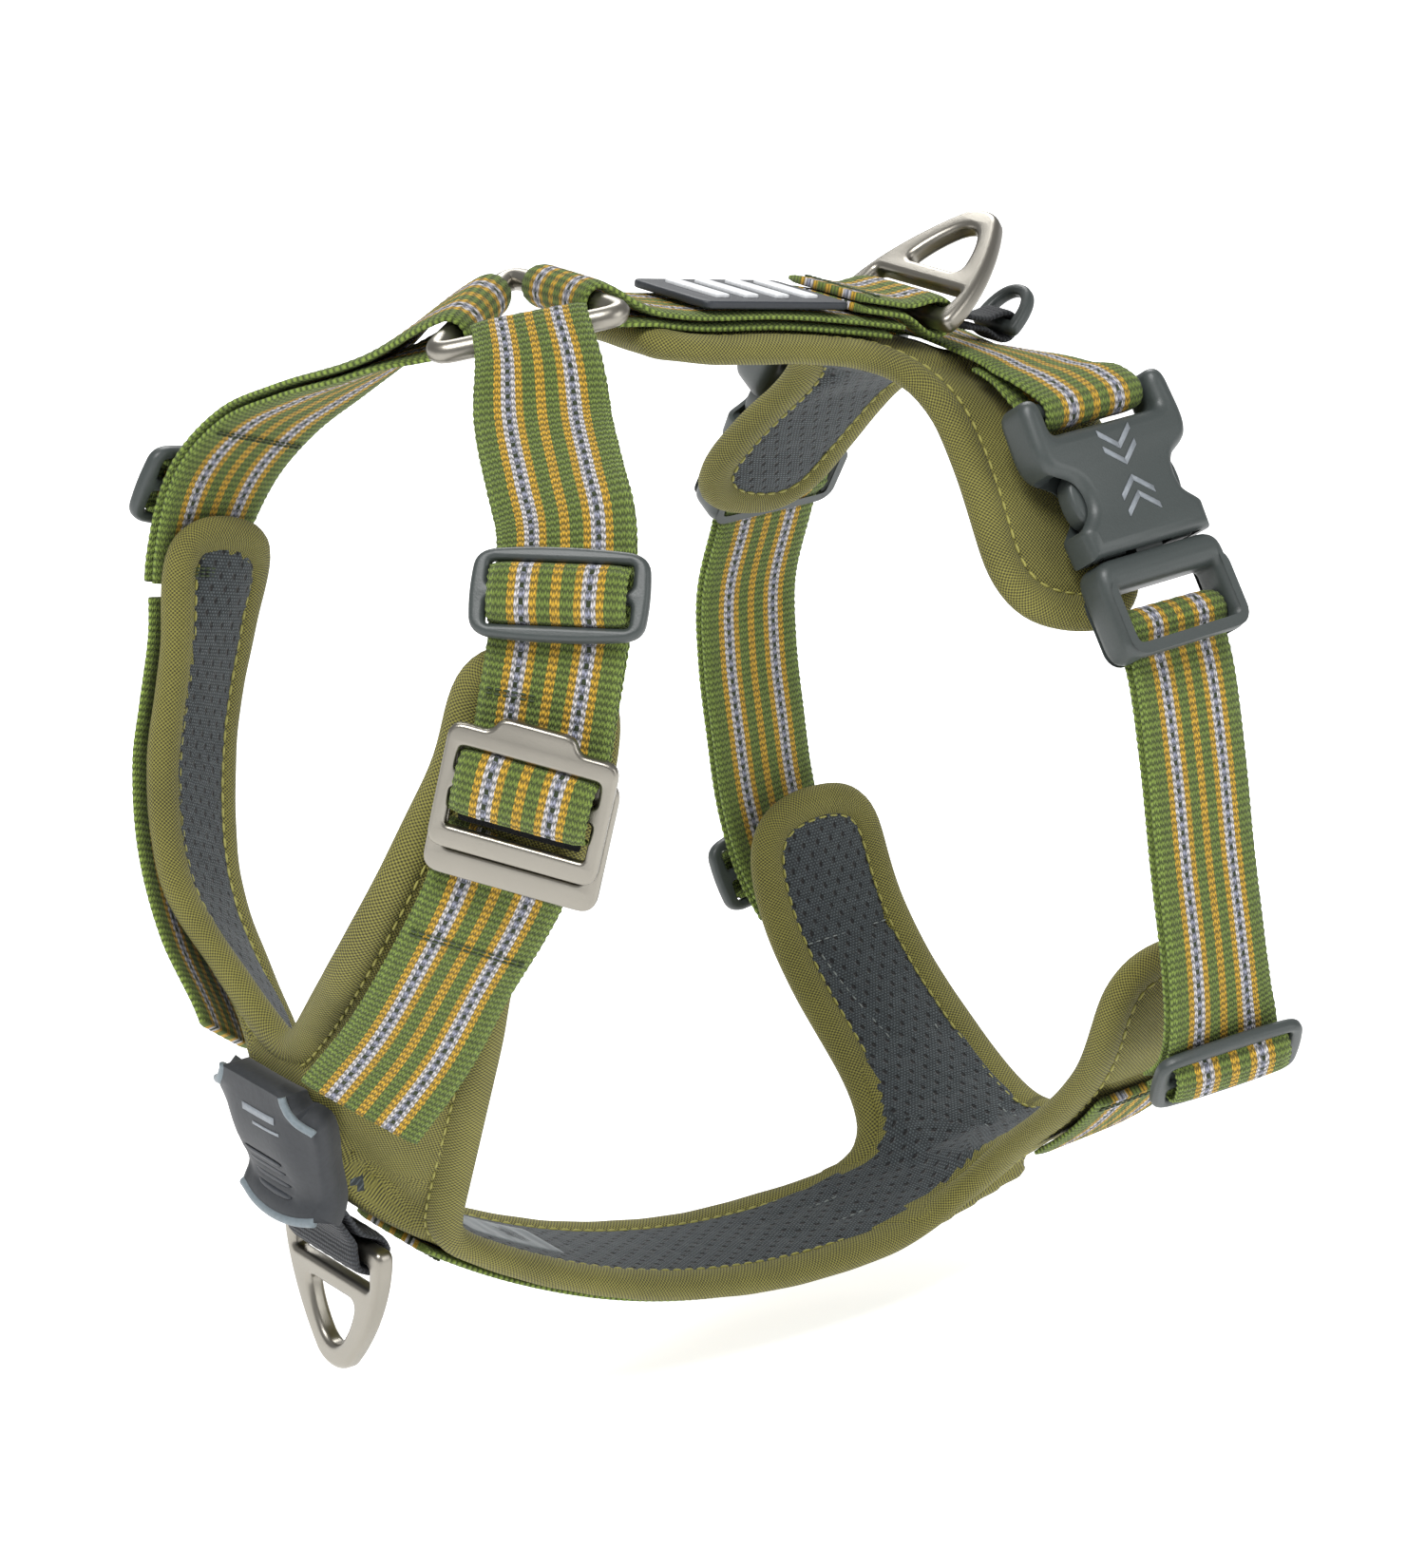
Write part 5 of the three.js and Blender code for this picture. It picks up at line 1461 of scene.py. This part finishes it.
def chest_patch():
    """The moulded chest patch, following the pad under it, with piped edges and ribs at its foot."""
    s = np.linspace(0, 1, CHEST_ROWS + 1)
    near_x, near_z = (np.interp(s, [r[0] for r in NEAR_EDGE], [r[k] for r in NEAR_EDGE]) for k in (1, 2))
    far_x, far_z = (np.interp(s, [r[0] for r in FAR_EDGE], [r[k] for r in FAR_EDGE]) for k in (1, 2))
    t = np.linspace(-1, 1, 33)
    blend = (t + 1) / 2
    x = far_x[:, None] + (near_x - far_x)[:, None] * blend
    z = far_z[:, None] + (near_z - far_z)[:, None] * blend
    z -= (1 - t * t) * (2.0 * np.maximum(0, s - 0.8) / 0.2)[:, None]
    front = np.stack([x, drape(x, z, CHEST_UNDER) - CHEST_LIFT, z], axis=-1)
    slopes = np.cross(np.gradient(front, axis=0), np.gradient(front, axis=1))
    normal = unit(slopes.reshape(-1, 3)).reshape(front.shape)
    normal *= np.where(normal[..., 1:2] > 0, -1, 1)
    ribs = np.zeros(front.shape[:2])
    for middle in CHEST_RIBS:
        along = np.exp(-(((s - middle) / 0.016) ** 2))
        ribs += np.outer(along, 1 - smooth(np.abs(t + 0.05), 0.42, 0.62))
    rim = smooth(np.abs(t), 0.93, 1.0)[None, :] + smooth(s, 0.97, 1.0)[:, None]
    thick = 0.8 - 0.35 * np.clip(rim, 0, 1) - 0.45 * ribs
    sections = [
        np.vstack([f + n * h[:, None], (f - n * CHEST_BACK)[::-1]]) for f, n, h in zip(front, normal, thick)
    ]
    piece = loft("chest_shield", sections, [CHARCOAL], np.zeros((CHEST_ROWS + 1, 66, 2)))
    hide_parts("chest_patch")
    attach(piece, "harness")

    top = int(round(0.46 * CHEST_ROWS))
    angle = around(10)
    parts = []
    for run, n in (
        (front[: top + 1, -1], normal[: top + 1, -1]), (front[: top + 1, 0], normal[: top + 1, 0]),
        (front[-1], normal[-1]),
    ):
        tangent = unit(np.gradient(run, axis=0))
        side = np.cross(tangent, n)
        rings = [
            p + m * 0.35 + np.outer(np.cos(angle) * 0.95, w) + np.outer(np.sin(angle) * 0.8, m)
            for p, m, w in zip(run, n, side)
        ]
        parts.append(loft_mesh(rings))
    piping = merged("chest_piping", parts, [PIPING])
    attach(piping, "harness")

    dark = []
    for middle in CHEST_RIBS:
        k = int(round(middle * CHEST_ROWS))
        keep = np.abs(t + 0.05) < 0.46
        run, n = front[k][keep], normal[k][keep]
        rings = []
        for q, (p, m) in enumerate(zip(run, n)):
            size = 0.75 * math.sqrt(max(0.08, 1 - (2 * q / (len(run) - 1) - 1) ** 4))
            w = np.cross(unit(run[-1] - run[0]), m)
            ring = p + m * 0.6 + np.outer(np.cos(angle) * size, w)
            rings.append(ring + np.outer(np.sin(angle) * size * 0.5, m))
        dark.append(loft_mesh(rings))
    slots = merged("chest_ribs", dark, [RUBBER])
    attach(slots, "harness")

    marks = []
    for middle, low_t, high_t, size in ((0.47, -0.2, 0.5, 0.75), (0.53, -0.06, 0.56, 0.3)):
        k = int(round(middle * CHEST_ROWS))
        keep = (t > low_t) & (t < high_t)
        run, n = front[k][keep], normal[k][keep]
        w = unit(np.cross(unit(run[-1] - run[0]), n.mean(0)))
        low_lift, high_lift = 0.84, 0.84 + 0.12
        corners = ((low_lift, 1), (high_lift, 1), (high_lift, -1), (low_lift, -1))
        rings = [
            np.array([p + m * lift + w * size * sign for lift, sign in corners]) for p, m in zip(run, n)
        ]
        marks.append(loft_mesh(rings))
    printed = merged("chest_print", marks, [PRINT])
    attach(printed, "harness")


chest_patch()

# ---- bartacks and sewn lines across the webbing -------------------------------------------
WEB_TOP = WEB_THICK / 2 + 0.1
SEWN_HALF = 11.6
SEWN_GAP = 0.9


def sewn_across(name, route, u, half, lift, rows=2, inward=False, start=None):
    """Rows of small stitches across a strap."""
    parts = []
    for k in range(rows):
        point, _, out, across = route.frames([u + (k - (rows - 1) / 2) * SEWN_GAP / route.length], lift)
        line = point + np.outer(np.linspace(-half if start is None else start, half, 14), across[0])
        normals = np.repeat(-out if inward else out, 14, 0)
        parts += stitch_line(line, normals, 1.5, 1.3, 0.5, 0.3)
    piece = merged(name, parts, [GREEN_THREAD])
    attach(piece, "harness")


near_strap, far_strap = Route(NECK_LEFT), Route(NECK_RIGHT)
sewn_across("near_sewn_line", near_strap, 0.695, SEWN_HALF, WEB_TOP)
sewn_across("near_bartack", near_strap, 0.428, -2, LAYER / 2 + WEB_TOP, start=-11.5)
sewn_across("far_sewn_line", far_strap, 0.285, SEWN_HALF, -LAYER / 2 - WEB_TOP, inward=True)
sewn_across("far_pad_bartack", neck_right, 0.56, 9.5, lambda u: neck_sink(u) - PAD_HALF - 0.1, rows=3,
            inward=True)
for name, arm in (("left", belly_arm_left), ("right", belly_arm_right)):
    sewn_across(f"belly_anchor_line_{name}", arm, 0.6, SEWN_HALF, ON_ARM + WEB_TOP)
sewn_across("rear_loop_line", Route(REAR_LOOP), 0.82, SEWN_HALF, LAYER / 2 + WEB_TOP)
for name, at in (("front", 0.26), ("rear", 0.84)):
    sewn_across(f"belly_line_{name}", belly, at, SEWN_HALF, ON_PAD + WEB_TOP)

# ---- floor, light and finish --------------------------------------------------------------
low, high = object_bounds()
FLOOR_DROP = 0.012
FLOOR_HALF = 30.0
FLOOR_GLOW = 0.64
WORLD_LIGHT = 0.4


def floor():
    """A flat white floor, wide enough to fill the view from every side."""
    mesh = bpy.data.meshes.new("floor")
    z = low.z - FLOOR_DROP
    corners = [(x * FLOOR_HALF, y * FLOOR_HALF, z) for x, y in ((-1, -1), (1, -1), (1, 1), (-1, 1))]
    mesh.from_pydata(corners, [], [(0, 1, 2, 3)])
    n = Nodes("floor")
    n.shader.inputs["Emission Color"].default_value = (1, 1, 1, 1)
    n.shader.inputs["Emission Strength"].default_value = FLOOR_GLOW
    mesh.materials.append(n.finish((0.86, 0.86, 0.86, 1), 0.9))
    piece = bpy.data.objects.new("floor", mesh)
    bpy.context.scene.collection.objects.link(piece)


floor()


def area_light(name, at, target, size, power):
    data = bpy.data.lights.new(name, "AREA")
    data.shape = "DISK"
    data.size = size
    data.energy = power
    lamp = bpy.data.objects.new(name, data)
    lamp.location = at
    lamp.rotation_mode = "QUATERNION"
    lamp.rotation_quaternion = (Vector(target) - Vector(at)).to_track_quat("-Z", "Y")
    bpy.context.scene.collection.objects.link(lamp)


CENTRE = (0, -0.03, -0.1)
area_light("key", (0.5, -1.0, 1.6), CENTRE, 0.9, 34)
area_light("fill", (1.6, 0.7, 0.6), CENTRE, 1.2, 10)
area_light("rim", (-1.2, 0.7, 1.2), CENTRE, 1.0, 18)
world = bpy.data.worlds.new("studio")
bpy.context.scene.world = world
world.use_nodes = True
world.node_tree.nodes["Background"].inputs["Color"].default_value = (1, 1, 1, 1)
world.node_tree.nodes["Background"].inputs["Strength"].default_value = WORLD_LIGHT
bpy.context.scene.view_settings.view_transform = "Standard"
